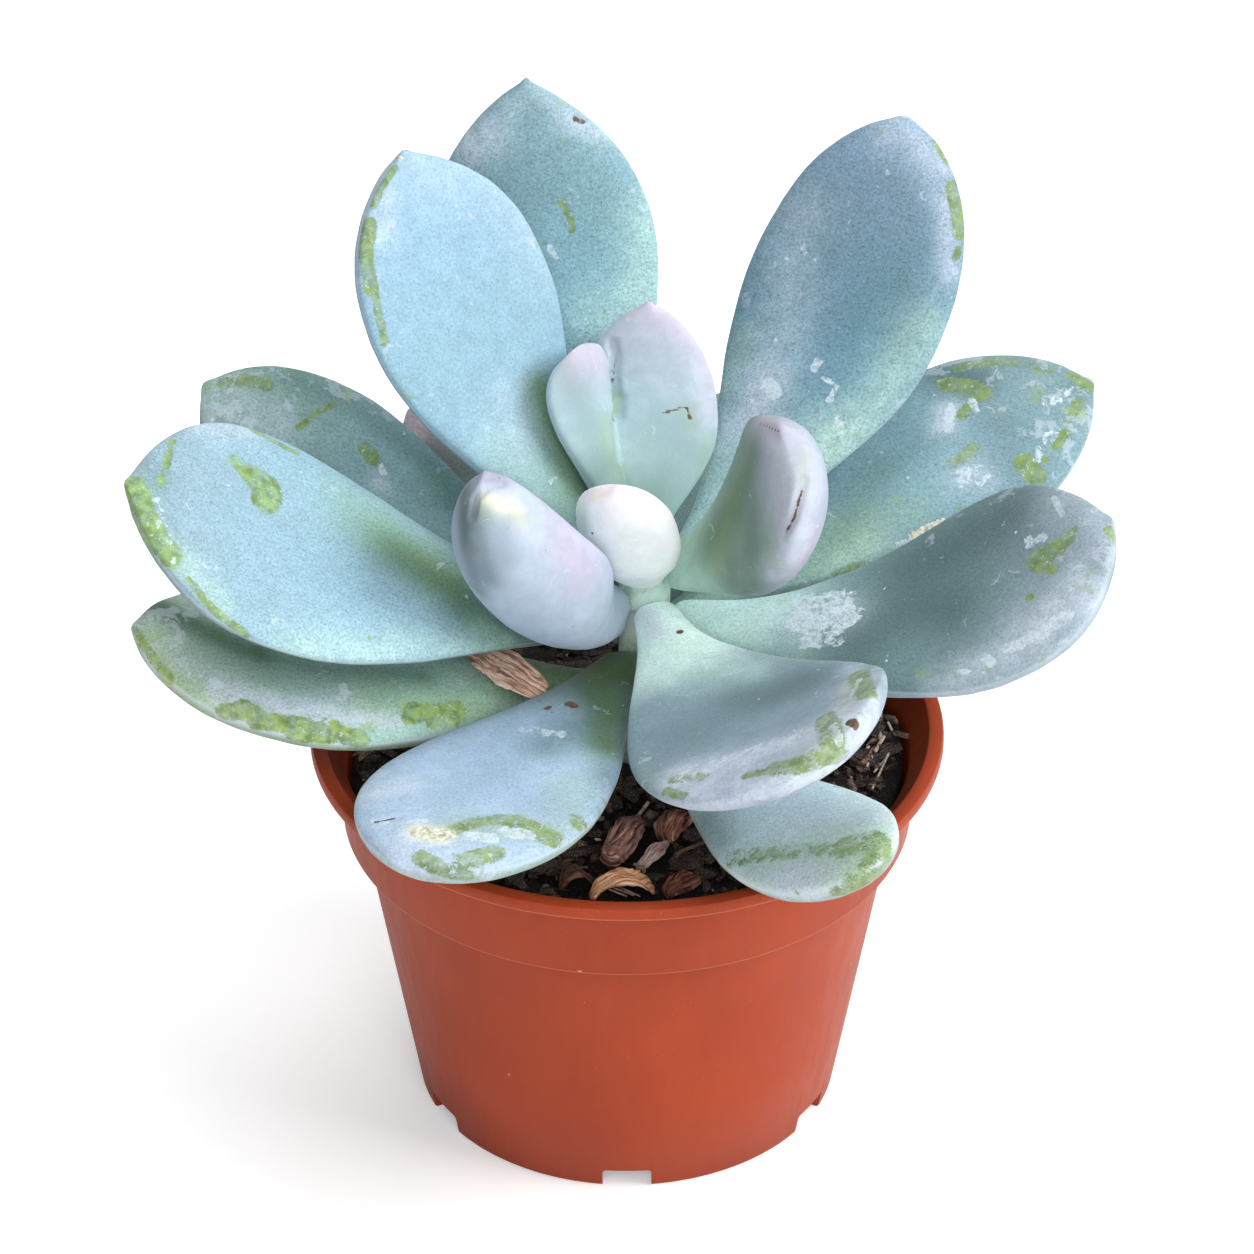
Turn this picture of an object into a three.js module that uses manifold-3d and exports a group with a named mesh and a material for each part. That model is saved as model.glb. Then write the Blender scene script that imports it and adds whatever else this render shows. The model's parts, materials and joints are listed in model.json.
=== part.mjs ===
// Potted moonstones: a rosette of thick, powdery leaves on a short stem, rooted in a small round
// nursery pot of terracotta-coloured plastic. Millimetres, +Z up, +X to the right, +Y to the back.
// Everything is laid out round the pot's own axis, with the foot of the pot at Z = 0. The last step
// moves the whole plant sideways, so that the middle of its box at the foot is the origin.

import * as THREE from 'three';
import { mergeVertices } from 'three/addons/utils/BufferGeometryUtils.js';
import Module from 'manifold-3d';

const wasm = await Module();
wasm.setup();

// Driving dimensions of the pot
const RIM_RADIUS = 42.5;
const POT_HEIGHT = 56.4;
const LIP_WIDTH = 2.1;
const LIP_HEIGHT = 1.9;
const COLLAR_TOP_RADIUS = 39.4;
const COLLAR_FOOT_RADIUS = 38.3;
const COLLAR_FOOT_HEIGHT = 42.7;
const BODY_TOP_RADIUS = 36.0;
const FOOT_RADIUS = 28.7;
const WALL = 1.2;
const FLOOR_UNDERSIDE = 3.2;
const FLOOR_THICKNESS = 1.3;
const FOOT_RING_WIDTH = 1.8;
const NOTCH_COUNT = 6;
const NOTCH_WIDTH = 6.6;
const NOTCH_HEIGHT = 3.0;
const DRAIN_RADIUS = 3.0;
const DRAIN_RING_RADIUS = 17;

// Driving dimensions of the soil and the stem
const CLEARANCE = 0.3;
const SOIL_EDGE_HEIGHT = 48.4;
const SOIL_MOUND = 2.4;
const SOIL_ROUGHNESS = 1.5;
const STEM_X = 2.3;
const STEM_Y = 1.5;
const STEM_RADIUS = 3.6;
const STEM_TOP = 80.5;
const STEM_FOOT = 40;

const DEGREE = Math.PI / 180;

// A closed skin over rings of points, with a single point closing each end. Each ring has the same
// number of points, and they run anticlockwise as seen from the last ring.
function skin(rings, firstPoint, lastPoint) {
  const around = rings[0].length;
  const points = [firstPoint, ...rings.flat(), lastPoint];
  const index = [];
  const at = (ring, k) => 1 + ring * around + (k % around);
  for (let k = 0; k < around; k += 1) {
    index.push(0, at(0, k + 1), at(0, k));
    index.push(points.length - 1, at(rings.length - 1, k), at(rings.length - 1, k + 1));
  }
  for (let ring = 0; ring + 1 < rings.length; ring += 1) {
    for (let k = 0; k < around; k += 1) {
      index.push(at(ring, k), at(ring, k + 1), at(ring + 1, k + 1));
      index.push(at(ring, k), at(ring + 1, k + 1), at(ring + 1, k));
    }
  }
  const geometry = new THREE.BufferGeometry();
  const numbers = points.flatMap((point) => point.toArray());
  geometry.setAttribute('position', new THREE.Float32BufferAttribute(numbers, 3));
  geometry.setIndex(index);
  return geometry;
}

// A three.js shape as a solid that can be cut and joined, and back again.
function toSolid(geometry) {
  const bare = geometry.clone();
  bare.deleteAttribute('normal');
  bare.deleteAttribute('uv');
  const merged = mergeVertices(bare, 1e-4);
  return new wasm.Manifold(new wasm.Mesh({
    numProp: 3,
    vertProperties: new Float32Array(merged.attributes.position.array),
    triVerts: new Uint32Array(merged.index.array),
  }));
}

function toGeometry(solid) {
  const mesh = solid.getMesh();
  const geometry = new THREE.BufferGeometry();
  geometry.setAttribute('position', new THREE.Float32BufferAttribute(mesh.vertProperties, 3));
  geometry.setIndex(Array.from(mesh.triVerts));
  return geometry;
}

// Smooth seeded bumps between -1 and 1, for whatever is rough.
function lattice(x, y, seed) {
  let h = Math.imul(x, 374761393) ^ Math.imul(y, 668265263) ^ Math.imul(seed, 2147483647);
  h = Math.imul(h ^ (h >>> 13), 1274126177);
  return ((h ^ (h >>> 16)) >>> 0) / 2147483648 - 1;
}

function bumps(x, y, size, seed) {
  const u = x / size;
  const v = y / size;
  const i = Math.floor(u);
  const j = Math.floor(v);
  const ease = (t) => t * t * (3 - 2 * t);
  const fu = ease(u - i);
  const fv = ease(v - j);
  const near = THREE.MathUtils.lerp(lattice(i, j, seed), lattice(i + 1, j, seed), fu);
  const far = THREE.MathUtils.lerp(lattice(i, j + 1, seed), lattice(i + 1, j + 1, seed), fu);
  return THREE.MathUtils.lerp(near, far, fv);
}

// The pot: a thin wall turned round the axis, with a flat lip, a collar that steps in to the body,
// and a raised floor inside a foot ring. Notches in the ring and holes in the floor let water out.
const POT_SEGMENTS = 60;

function outerRadius(z) {
  const { lerp } = THREE.MathUtils;
  if (z > COLLAR_FOOT_HEIGHT) {
    const share = (z - COLLAR_FOOT_HEIGHT) / (POT_HEIGHT - COLLAR_FOOT_HEIGHT);
    return lerp(COLLAR_FOOT_RADIUS, COLLAR_TOP_RADIUS, share);
  }
  return lerp(FOOT_RADIUS, BODY_TOP_RADIUS, z / COLLAR_FOOT_HEIGHT);
}

function innerRadius(z) {
  const step = COLLAR_FOOT_HEIGHT + WALL;
  if (z >= step) return outerRadius(z) - WALL;
  return outerRadius(Math.min(z, COLLAR_FOOT_HEIGHT)) - WALL;
}

function potGeometry() {
  const floorTop = FLOOR_UNDERSIDE + FLOOR_THICKNESS;
  const lipFoot = POT_HEIGHT - LIP_HEIGHT;
  const lipInner = RIM_RADIUS - LIP_WIDTH;
  const step = COLLAR_FOOT_HEIGHT + WALL;
  const ringInner = FOOT_RADIUS - FOOT_RING_WIDTH;
  const outline = [
    [0, FLOOR_UNDERSIDE],
    [ringInner, FLOOR_UNDERSIDE],
    [ringInner, 0],
    [FOOT_RADIUS, 0],
    [outerRadius(COLLAR_FOOT_HEIGHT / 2), COLLAR_FOOT_HEIGHT / 2],
    [BODY_TOP_RADIUS, COLLAR_FOOT_HEIGHT],
    [COLLAR_FOOT_RADIUS - 0.4, COLLAR_FOOT_HEIGHT],
    [COLLAR_FOOT_RADIUS, COLLAR_FOOT_HEIGHT + 0.4],
    [outerRadius(lipFoot), lipFoot],
    [RIM_RADIUS - 0.5, lipFoot],
    [RIM_RADIUS, lipFoot + 0.5],
    [RIM_RADIUS, POT_HEIGHT - 0.6],
    [RIM_RADIUS - 0.6, POT_HEIGHT],
    [lipInner + 0.3, POT_HEIGHT],
    [lipInner, POT_HEIGHT - 0.3],
    [innerRadius(lipFoot - 1), lipFoot - 1],
    [innerRadius(step), step],
    [innerRadius(COLLAR_FOOT_HEIGHT - 0.6), COLLAR_FOOT_HEIGHT - 0.6],
    [innerRadius(floorTop), floorTop],
    [0, floorTop],
  ].map(([r, z]) => new THREE.Vector2(r, z));
  const turned = new THREE.LatheGeometry(outline, POT_SEGMENTS);
  turned.rotateX(Math.PI / 2);
  let pot = toSolid(turned);

  const half = NOTCH_WIDTH / 2;
  const slope = 0.4;
  const notch = new THREE.Shape();
  notch.moveTo(-half - slope, -1);
  notch.lineTo(half + slope, -1);
  notch.lineTo(half, NOTCH_HEIGHT - 0.6);
  notch.quadraticCurveTo(half, NOTCH_HEIGHT, half - 0.6, NOTCH_HEIGHT);
  notch.lineTo(0.6 - half, NOTCH_HEIGHT);
  notch.quadraticCurveTo(-half, NOTCH_HEIGHT, -half, NOTCH_HEIGHT - 0.6);
  notch.closePath();
  const notchBar = new THREE.ExtrudeGeometry(notch, { depth: 8, bevelEnabled: false, curveSegments: 3 });
  notchBar.rotateX(Math.PI / 2);
  notchBar.translate(0, -(FOOT_RADIUS - 6), 0);
  const drain = new THREE.CylinderGeometry(DRAIN_RADIUS, DRAIN_RADIUS, 4, 12);
  drain.rotateX(Math.PI / 2);
  drain.translate(0, 0, FLOOR_UNDERSIDE + FLOOR_THICKNESS / 2);
  pot = pot.subtract(toSolid(drain));
  for (let k = 0; k < NOTCH_COUNT; k += 1) {
    const turn = (k * 360 / NOTCH_COUNT) * DEGREE;
    pot = pot.subtract(toSolid(notchBar.clone().rotateZ(turn)));
    const hole = drain.clone().translate(DRAIN_RING_RADIUS, 0, 0).rotateZ(turn);
    pot = pot.subtract(toSolid(hole));
  }
  return toGeometry(pot);
}

// The soil fills the pot to a few millimetres under the lip. It is mounded round the stem, rough on
// top, and has a plain hole that the stem stands in.
function soilHeight(x, y) {
  const share = Math.min(1, Math.hypot(x, y) / COLLAR_FOOT_RADIUS);
  const mound = SOIL_EDGE_HEIGHT + SOIL_MOUND * (1 - share * share);
  return mound + SOIL_ROUGHNESS * (0.6 * bumps(x, y, 7, 5) + 0.4 * bumps(x, y, 3.2, 9));
}

function soilGeometry() {
  const around = 44;
  const ringAt = (radius, height, x0 = 0, y0 = 0) => Array.from({ length: around }, (_, k) => {
    const angle = (k / around) * 2 * Math.PI;
    const x = x0 + radius * Math.cos(angle);
    const y = y0 + radius * Math.sin(angle);
    return new THREE.Vector3(x, y, typeof height === 'function' ? height(x, y) : height);
  });
  const foot = FLOOR_UNDERSIDE + FLOOR_THICKNESS + CLEARANCE;
  const shoulder = COLLAR_FOOT_HEIGHT - 0.6 - CLEARANCE;
  const step = COLLAR_FOOT_HEIGHT + WALL + CLEARANCE;
  const rings = [
    ringAt(innerRadius(foot) - CLEARANCE, foot),
    ringAt(innerRadius(shoulder) - CLEARANCE, shoulder),
    ringAt(innerRadius(step) - CLEARANCE, step),
  ];
  const edge = innerRadius(SOIL_EDGE_HEIGHT) - CLEARANCE - 0.2;
  const holeRadius = STEM_RADIUS + CLEARANCE;
  const topRings = 11;
  for (let ring = 0; ring < topRings; ring += 1) {
    const share = ring / (topRings - 1);
    const radius = THREE.MathUtils.lerp(edge, holeRadius, share);
    rings.push(ringAt(radius, soilHeight, STEM_X * share, STEM_Y * share));
  }
  rings.push(ringAt(holeRadius, STEM_FOOT - CLEARANCE, STEM_X, STEM_Y));
  const bottom = new THREE.Vector3(0, 0, foot);
  const holeFoot = new THREE.Vector3(STEM_X, STEM_Y, STEM_FOOT - CLEARANCE);
  return skin(rings, bottom, holeFoot);
}

// The short stem: a ringed column from inside the soil up to the young leaves. With room added to its
// radius it is the space that the roots of the leaves keep clear of.
function stemGeometry(room = 0) {
  const around = 20;
  const levels = 16;
  const rings = Array.from({ length: levels }, (_, level) => {
    const share = level / (levels - 1);
    const z = THREE.MathUtils.lerp(STEM_FOOT, STEM_TOP - 1, share);
    const radius = STEM_RADIUS + room - (level % 2 === 0 ? 0 : 0.25);
    return Array.from({ length: around }, (_, k) => {
      const angle = (k / around) * 2 * Math.PI;
      return new THREE.Vector3(STEM_X + radius * Math.cos(angle), STEM_Y + radius * Math.sin(angle), z);
    });
  });
  const foot = new THREE.Vector3(STEM_X, STEM_Y, STEM_FOOT);
  const crown = new THREE.Vector3(STEM_X, STEM_Y, STEM_TOP + room);
  return skin(rings, foot, crown);
}

// How a leaf grows. Its root sits on the stem at a height, facing a heading: 0 degrees is right, 90
// the back, 180 left and 270 the front. A leaf on top of the stem has its root out from the middle by
// less than the stem's radius. The leaf leaves at its lean above level; rise is added evenly and curl
// mostly near the tip. swing turns its heading on the way out, roll turns its face about its own
// length and twist adds to that by the tip. neck is the root's share of the full width, belly the
// place where it is widest, and end how full the tip is: 1 is pointed and 2 is round. cup lifts its
// edges. The upper face is flatter than the lower one, as on every plump leaf of this kind.
const UPPER_SHARE = 0.36;
const TIP_POINT = 0.7;

function leafWidth(leaf, s) {
  if (s < leaf.belly) {
    const t = s / leaf.belly;
    return leaf.neck + (1 - leaf.neck) * t * t * (3 - 2 * t);
  }
  const t = (s - leaf.belly) / (1 - leaf.belly);
  return (1 - t ** 2.3) ** (1 / leaf.end);
}

function leafThickness(s) {
  const grown = Math.min(1, s / 0.45);
  const closing = Math.max(0, (s - 0.7) / 0.3);
  return (0.42 + 0.58 * grown * (2 - grown)) * Math.sqrt(Math.max(0, 1 - closing ** 2.6));
}

function leafSkin(leaf, around, along) {
  const shares = Array.from({ length: along + 1 }, (_, i) => 1 - (1 - i / along) ** 1.7);
  const heading = leaf.heading * DEGREE;
  const place = new THREE.Vector3(Math.cos(heading), Math.sin(heading), 0);
  place.multiplyScalar(leaf.out ?? STEM_RADIUS + CLEARANCE);
  place.add(new THREE.Vector3(STEM_X, STEM_Y, leaf.height));
  const directionAt = (s) => {
    const lean = (leaf.lean + leaf.rise * s + leaf.curl * s * s) * DEGREE;
    const turn = heading + leaf.swing * s * DEGREE;
    const level = Math.cos(lean);
    return new THREE.Vector3(level * Math.cos(turn), level * Math.sin(turn), Math.sin(lean));
  };
  const rings = [];
  let tip = place;
  shares.forEach((s, i) => {
    if (i > 0) {
      const middle = (s + shares[i - 1]) / 2;
      tip = tip.clone().addScaledVector(directionAt(middle), leaf.length * (s - shares[i - 1]));
    }
    if (i === along) return;
    const along3 = directionAt(s);
    const aim = heading + leaf.swing * s * DEGREE;
    const across = new THREE.Vector3(-Math.sin(aim), Math.cos(aim), 0);
    const face = new THREE.Vector3().crossVectors(along3, across);
    const turn = -(leaf.roll + leaf.twist * s) * DEGREE;
    across.applyAxisAngle(along3, turn);
    face.applyAxisAngle(along3, turn);
    const half = (leaf.width / 2) * leafWidth(leaf, s);
    const thick = leaf.thick * leafThickness(s);
    rings.push(Array.from({ length: around }, (_, k) => {
      const angle = (k / around) * 2 * Math.PI;
      const x = half * Math.cos(angle);
      const share = Math.sin(angle) > 0 ? UPPER_SHARE : 1 - UPPER_SHARE;
      const y = share * thick * Math.sin(angle) + leaf.cup * half * Math.cos(angle) ** 2;
      return tip.clone().addScaledVector(across, x).addScaledVector(face, y);
    }));
  });
  const end = tip.clone().addScaledVector(directionAt(1), TIP_POINT);
  return skin(rings, place, end);
}

// The dried leaves. Each is a shrivelled spindle or strip between two places on the soil, arched in the
// middle, with ribs along it and its edges rolled up. It is let down until it lies on the soil.
function shrivelled(dried) {
  const around = 14;
  const along = 9;
  const start = new THREE.Vector3(dried.from[0], dried.from[1], dried.from[2]);
  const end = new THREE.Vector3(dried.to[0], dried.to[1], dried.to[2]);
  const forward = end.clone().sub(start).normalize();
  const across = new THREE.Vector3(-forward.y, forward.x, 0).normalize();
  const face = new THREE.Vector3().crossVectors(forward, across);
  const centre = (s) => {
    const sway = dried.sway * Math.sin(Math.PI * s);
    const lift = dried.arch * Math.sin(Math.PI * s) ** 0.7;
    return start.clone().lerp(end, s).addScaledVector(across, sway).addScaledVector(face, lift);
  };
  const rings = Array.from({ length: along }, (_, i) => {
    const s = (i + 0.5) / along;
    const taper = dried.blunt + (1 - dried.blunt) * Math.sin(Math.PI * s) ** 0.8;
    const half = (dried.width / 2) * taper;
    return Array.from({ length: around }, (_, k) => {
      const angle = (k / around) * 2 * Math.PI;
      const rib = 1 + dried.ribDepth * Math.cos(dried.ribs * angle) + 0.1 * bumps(s * 9, k, 2, dried.seed);
      const x = half * Math.cos(angle) * rib;
      const y = (dried.thick / 2) * (0.5 + taper / 2) * Math.sin(angle) * rib;
      const rolled = dried.rollUp * half * Math.cos(angle) ** 2;
      return centre(s).addScaledVector(across, x).addScaledVector(face, y + rolled);
    });
  });
  return skin(rings, centre(0), centre(1));
}

function letDownOnSoil(geometry) {
  const position = geometry.attributes.position;
  const gaps = Array.from({ length: position.count }, (_, i) => (
    position.getZ(i) - soilHeight(position.getX(i), position.getY(i))
  ));
  return geometry.translate(0, 0, CLEARANCE - Math.min(...gaps));
}

// Materials, with the colours of the plant in the photograph.
const material = (color, roughness) => new THREE.MeshStandardMaterial({ color, roughness, metalness: 0 });
const FINISH = {
  plastic: material('#b9492c', 0.5),
  soil: material('#2b211c', 1),
  stem: material('#8f9a78', 0.8),
  dried: material('#8a6a50', 0.95),
  leaf: material('#a6c6cf', 0.7),
  leafBlue: material('#8fb2ba', 0.7),
  leafGreen: material('#86a79c', 0.7),
  leafPale: material('#cfd3e4', 0.7),
};

// The leaves of the rosette, from the crown downwards.
const LARGE = { around: 16, along: 17 };
const SMALL = { around: 14, along: 13 };
const LEAVES = [
  {
    name: 'leaf_bud', finish: 'leafPale', grid: SMALL,
    heading: 255, height: 81.3, lean: 63, rise: 15, curl: -4, swing: -9,
    roll: 19, twist: -29, length: 19, width: 14, thick: 6.4, neck: 0.5, belly: 0.58, end: 1.76, cup: 0.08,
  },
  {
    name: 'leaf_bud_small', finish: 'leafPale', grid: SMALL,
    heading: 45, height: 81, out: 1, lean: 80, rise: 6, curl: 0, swing: 0,
    roll: 0, twist: 0, length: 8.5, width: 4.8, thick: 3, neck: 0.5, belly: 0.5, end: 1.7, cup: 0,
  },
  {
    name: 'leaf_inner_right', finish: 'leafPale', grid: SMALL,
    heading: -24, height: 81.5, lean: 27, rise: 53, curl: 15, swing: -13,
    roll: -27, twist: -27, length: 32, width: 24.5, thick: 9.9, neck: 0.3, belly: 0.64, end: 1.87, cup: 0,
  },
  {
    name: 'leaf_inner_left', finish: 'leafPale', grid: SMALL,
    heading: 226, height: 75.9, lean: 29, rise: 37, curl: 13, swing: -9,
    roll: -31, twist: -4, length: 40, width: 17.5, thick: 12.9, neck: 0.15, belly: 0.46, end: 1.5, cup: 0.11,
  },
  {
    name: 'leaf_front', finish: 'leafBlue', grid: LARGE,
    heading: 285, height: 76.6, lean: -10, rise: 36, curl: 20, swing: 23,
    roll: -9, twist: -7, length: 60, width: 33.5, thick: 7, neck: 0.17, belly: 0.63, end: 1.7, cup: 0.08,
  },
  {
    name: 'leaf_back_left', finish: 'leaf', grid: LARGE,
    heading: 152, height: 77.9, lean: 44, rise: 27, curl: 4, swing: -9,
    roll: 5, twist: 16, length: 64, width: 29, thick: 8.1, neck: 0.17, belly: 0.64, end: 1.42, cup: 0.12,
  },
  {
    name: 'leaf_back_right', finish: 'leaf', grid: LARGE,
    heading: 41.5, height: 76, lean: 32, rise: 25, curl: 12, swing: 11,
    roll: -8, twist: -22, length: 70.5, width: 28, thick: 5.8, neck: 0.17, belly: 0.62, end: 1.66, cup: -0.08,
  },
  {
    name: 'leaf_right_front', finish: 'leaf', grid: LARGE,
    heading: -23, height: 73.8, lean: -1, rise: 35, curl: 14, swing: 23,
    roll: -11, twist: -11, length: 64, width: 30.5, thick: 8.9, neck: 0.2, belly: 0.71, end: 1.46, cup: 0.06,
  },
  {
    name: 'leaf_left_large', finish: 'leaf', grid: LARGE,
    heading: 201, height: 72.7, lean: 16, rise: 30, curl: -10, swing: -6,
    roll: 18, twist: 9, length: 74, width: 34, thick: 7, neck: 0.17, belly: 0.7, end: 1.35, cup: 0.05,
  },
  {
    name: 'leaf_back_tall', finish: 'leafBlue', grid: LARGE,
    heading: 113, height: 73.4, lean: 35, rise: 40, curl: 8, swing: -2,
    roll: 13, twist: 9, length: 72, width: 30, thick: 7.5, neck: 0.15, belly: 0.67, end: 1.11, cup: 0,
  },
  {
    name: 'leaf_front_left', finish: 'leafBlue', grid: LARGE,
    heading: 244, height: 68.5, lean: -2, rise: 10, curl: -1, swing: -8,
    roll: -7, twist: 6, length: 59, width: 30.5, thick: 7.8, neck: 0.24, belly: 0.67, end: 1.71, cup: 0.03,
  },
  {
    name: 'leaf_right_behind', finish: 'leafBlue', grid: LARGE,
    heading: 23.5, height: 70.8, lean: 25, rise: -7, curl: -4, swing: -1,
    roll: -17, twist: -2, length: 65.5, width: 28.5, thick: 7.4, neck: 0.17, belly: 0.65, end: 1.39, cup: -0.06,
  },
  {
    name: 'leaf_left_behind', finish: 'leafGreen', grid: LARGE,
    heading: 170, height: 69.7, lean: 25, rise: 0, curl: 8, swing: -10,
    roll: 26, twist: 7, length: 63.5, width: 23.5, thick: 7, neck: 0.18, belly: 0.68, end: 1.54, cup: 0.03,
  },
  {
    name: 'leaf_back_low_left', finish: 'leafGreen', grid: SMALL,
    heading: 138, height: 67, lean: 28, rise: 1, curl: -8, swing: -3,
    roll: 7, twist: -2, length: 44, width: 16.5, thick: 5.5, neck: 0.18, belly: 0.61, end: 1.54, cup: 0.03,
  },
  {
    name: 'leaf_back_low', finish: 'leafGreen', grid: SMALL,
    heading: 73, height: 66, lean: 13, rise: 14, curl: 0, swing: 0,
    roll: 0, twist: 0, length: 44, width: 21, thick: 9, neck: 0.24, belly: 0.62, end: 1.6, cup: 0,
  },
  {
    name: 'leaf_right_low', finish: 'leafGreen', grid: SMALL,
    heading: 26, height: 62.7, lean: -3, rise: 11, curl: 0, swing: -1,
    roll: 3, twist: 2, length: 44.5, width: 21.5, thick: 9, neck: 0.26, belly: 0.62, end: 1.6, cup: 0,
  },
  {
    name: 'leaf_left_low', finish: 'leafGreen', grid: LARGE,
    heading: 192, height: 61.8, lean: 7, rise: 11, curl: 5, swing: -6,
    roll: 3, twist: 11, length: 66, width: 27.5, thick: 9, neck: 0.22, belly: 0.6, end: 1.57, cup: -0.03,
  },
  {
    name: 'leaf_front_low', finish: 'leafBlue', grid: SMALL,
    heading: -65, height: 60, lean: -5, rise: 29, curl: 3, swing: 9,
    roll: -10, twist: -8, length: 58, width: 20, thick: 7.8, neck: 0.22, belly: 0.7, end: 1.73, cup: 0,
  },
];

// The inner leaf with a forked tip: a large lobe and a smaller one grown together along a crease.
const FORKED = { name: 'leaf_inner_forked', finish: 'leafPale', grid: SMALL };
const FORKED_LOBES = [
  {
    heading: 91, height: 78.3, lean: 44, rise: 35, curl: 1, swing: -8,
    roll: -11, twist: 9, length: 35, width: 19.4, thick: 5.7, neck: 0.18, belly: 0.52, end: 1.41, cup: -0.03,
  },
  {
    heading: 118, height: 81.5, lean: 53, rise: 19, curl: 8, swing: 22,
    roll: -48, twist: 45, length: 27.4, width: 14, thick: 4.6, neck: 0.25, belly: 0.77, end: 2.5, cup: -0.15,
  },
];

// The dried leaves on the soil, and the one that is caught between the low leaves at the left.
const DRIED = [
  {
    name: 'dried_leaf_ribbed',
    from: [-2.6, -25.4, 0], to: [1.6, -17, 0.8],
    width: 4, thick: 3.4, arch: 0.8, sway: 0, ribs: 7,
    ribDepth: 0.14, rollUp: 0, blunt: 0.5, seed: 21,
  },
  {
    name: 'dried_leaf_pointed',
    from: [1.2, -26, 0], to: [5.5, -21.5, 1.6],
    width: 2.1, thick: 1.3, arch: 0.4, sway: -0.3, ribs: 3,
    ribDepth: 0.06, rollUp: 0.1, blunt: 0.1, seed: 5,
  },
  {
    name: 'dried_leaf_folded',
    from: [4.6, -19.6, 0], to: [8.2, -15, 0.6],
    width: 4.2, thick: 2, arch: 1.6, sway: 0.4, ribs: 4,
    ribDepth: 0.1, rollUp: -0.2, blunt: 0.4, seed: 33,
  },
  {
    name: 'dried_leaf_tan',
    from: [-4.8, -31.2, 0], to: [3.7, -30.2, 0],
    width: 3.5, thick: 1, arch: 2.6, sway: 0.3, ribs: 2,
    ribDepth: 0.08, rollUp: 0.12, blunt: 0.6, seed: 40,
  },
  {
    name: 'dried_leaf_right',
    from: [4.8, -31.4, 0], to: [9.6, -28.4, 0.4],
    width: 3.4, thick: 2, arch: 1, sway: 0.3, ribs: 5,
    ribDepth: 0.16, rollUp: 0, blunt: 0.4, seed: 52,
  },
  {
    name: 'dried_leaf_left',
    from: [-9, -28.6, 0], to: [-4.6, -26.8, 0],
    width: 2.6, thick: 1.3, arch: 2.2, sway: 0.4, ribs: 3,
    ribDepth: 0.1, rollUp: 0, blunt: 0.3, seed: 64,
  },
];
const CAUGHT = {
  name: 'dried_leaf_caught',
  from: [-20.6, -1.4, 68.7], to: [-11.2, -8, 65.9],
  width: 6.2, thick: 1.2, arch: 0.6, sway: -0.6, ribs: 4,
  ribDepth: 0.08, rollUp: 0.3, blunt: 0.45, seed: 71,
};

const plant = new THREE.Group();

function add(name, geometry, finish) {
  const mesh = new THREE.Mesh(geometry, finish);
  mesh.name = name;
  plant.add(mesh);
}

add('pot', potGeometry(), FINISH.plastic);
add('soil', soilGeometry(), FINISH.soil);
add('stem', stemGeometry(), FINISH.stem);
const stemRoom = toSolid(stemGeometry(CLEARANCE));
for (const leaf of LEAVES) {
  const { around, along } = leaf.grid;
  const grown = toSolid(leafSkin(leaf, around, along));
  add(leaf.name, toGeometry(grown.subtract(stemRoom)), FINISH[leaf.finish]);
}
const lobes = FORKED_LOBES.map((lobe) => toSolid(leafSkin(lobe, FORKED.grid.around, FORKED.grid.along)));
add(FORKED.name, toGeometry(lobes[0].add(lobes[1]).subtract(stemRoom)), FINISH[FORKED.finish]);
for (const dried of DRIED) {
  add(dried.name, letDownOnSoil(shrivelled(dried)), FINISH.dried);
}
add(CAUGHT.name, shrivelled(CAUGHT), FINISH.dried);

// The origin is the middle of the plant's box, at the surface that the pot stands on.
const middle = new THREE.Box3().setFromObject(plant).getCenter(new THREE.Vector3());
const group = new THREE.Group();
plant.position.set(-middle.x, -middle.y, 0);
group.add(plant);

export default group;
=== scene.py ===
# %% [markdown]
# # Potted moonstones
# A rosette of thick, powdery leaves in a small nursery pot of terracotta-coloured plastic. The packed
# model gives the place and form of each piece. This lesson gives the pieces their finer surfaces,
# their finishes, a floor and soft light. Everything is in metres, with +Z up.

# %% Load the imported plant
import json
import math
import random

import bpy
import numpy as np
from mathutils import Euler, Matrix, Vector, noise
from mathutils.bvhtree import BVHTree

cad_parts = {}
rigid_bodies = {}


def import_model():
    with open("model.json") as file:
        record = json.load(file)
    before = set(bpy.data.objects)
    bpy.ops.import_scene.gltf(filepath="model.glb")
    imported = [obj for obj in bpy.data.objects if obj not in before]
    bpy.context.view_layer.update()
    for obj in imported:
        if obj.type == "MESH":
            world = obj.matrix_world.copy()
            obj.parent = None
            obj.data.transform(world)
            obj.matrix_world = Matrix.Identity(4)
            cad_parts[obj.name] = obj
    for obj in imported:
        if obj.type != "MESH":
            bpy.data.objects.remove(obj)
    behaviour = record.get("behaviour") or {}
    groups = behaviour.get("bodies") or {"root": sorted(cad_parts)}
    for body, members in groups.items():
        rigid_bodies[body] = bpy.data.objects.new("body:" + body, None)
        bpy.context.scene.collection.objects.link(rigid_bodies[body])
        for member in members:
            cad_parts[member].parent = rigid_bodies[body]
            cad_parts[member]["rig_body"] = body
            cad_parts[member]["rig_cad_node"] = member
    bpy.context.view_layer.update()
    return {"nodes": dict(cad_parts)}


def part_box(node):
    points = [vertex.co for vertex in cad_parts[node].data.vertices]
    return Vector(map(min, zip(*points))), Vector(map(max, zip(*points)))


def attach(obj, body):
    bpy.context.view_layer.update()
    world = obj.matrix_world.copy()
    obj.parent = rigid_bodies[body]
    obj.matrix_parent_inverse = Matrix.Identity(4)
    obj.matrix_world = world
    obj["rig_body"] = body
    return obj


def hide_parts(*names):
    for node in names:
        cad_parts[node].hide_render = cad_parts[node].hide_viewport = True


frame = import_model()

pot_low, pot_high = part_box("pot")
AXIS = Vector(((pot_low.x + pot_high.x) / 2, (pot_low.y + pot_high.y) / 2, 0))
MM = 0.001
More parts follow.
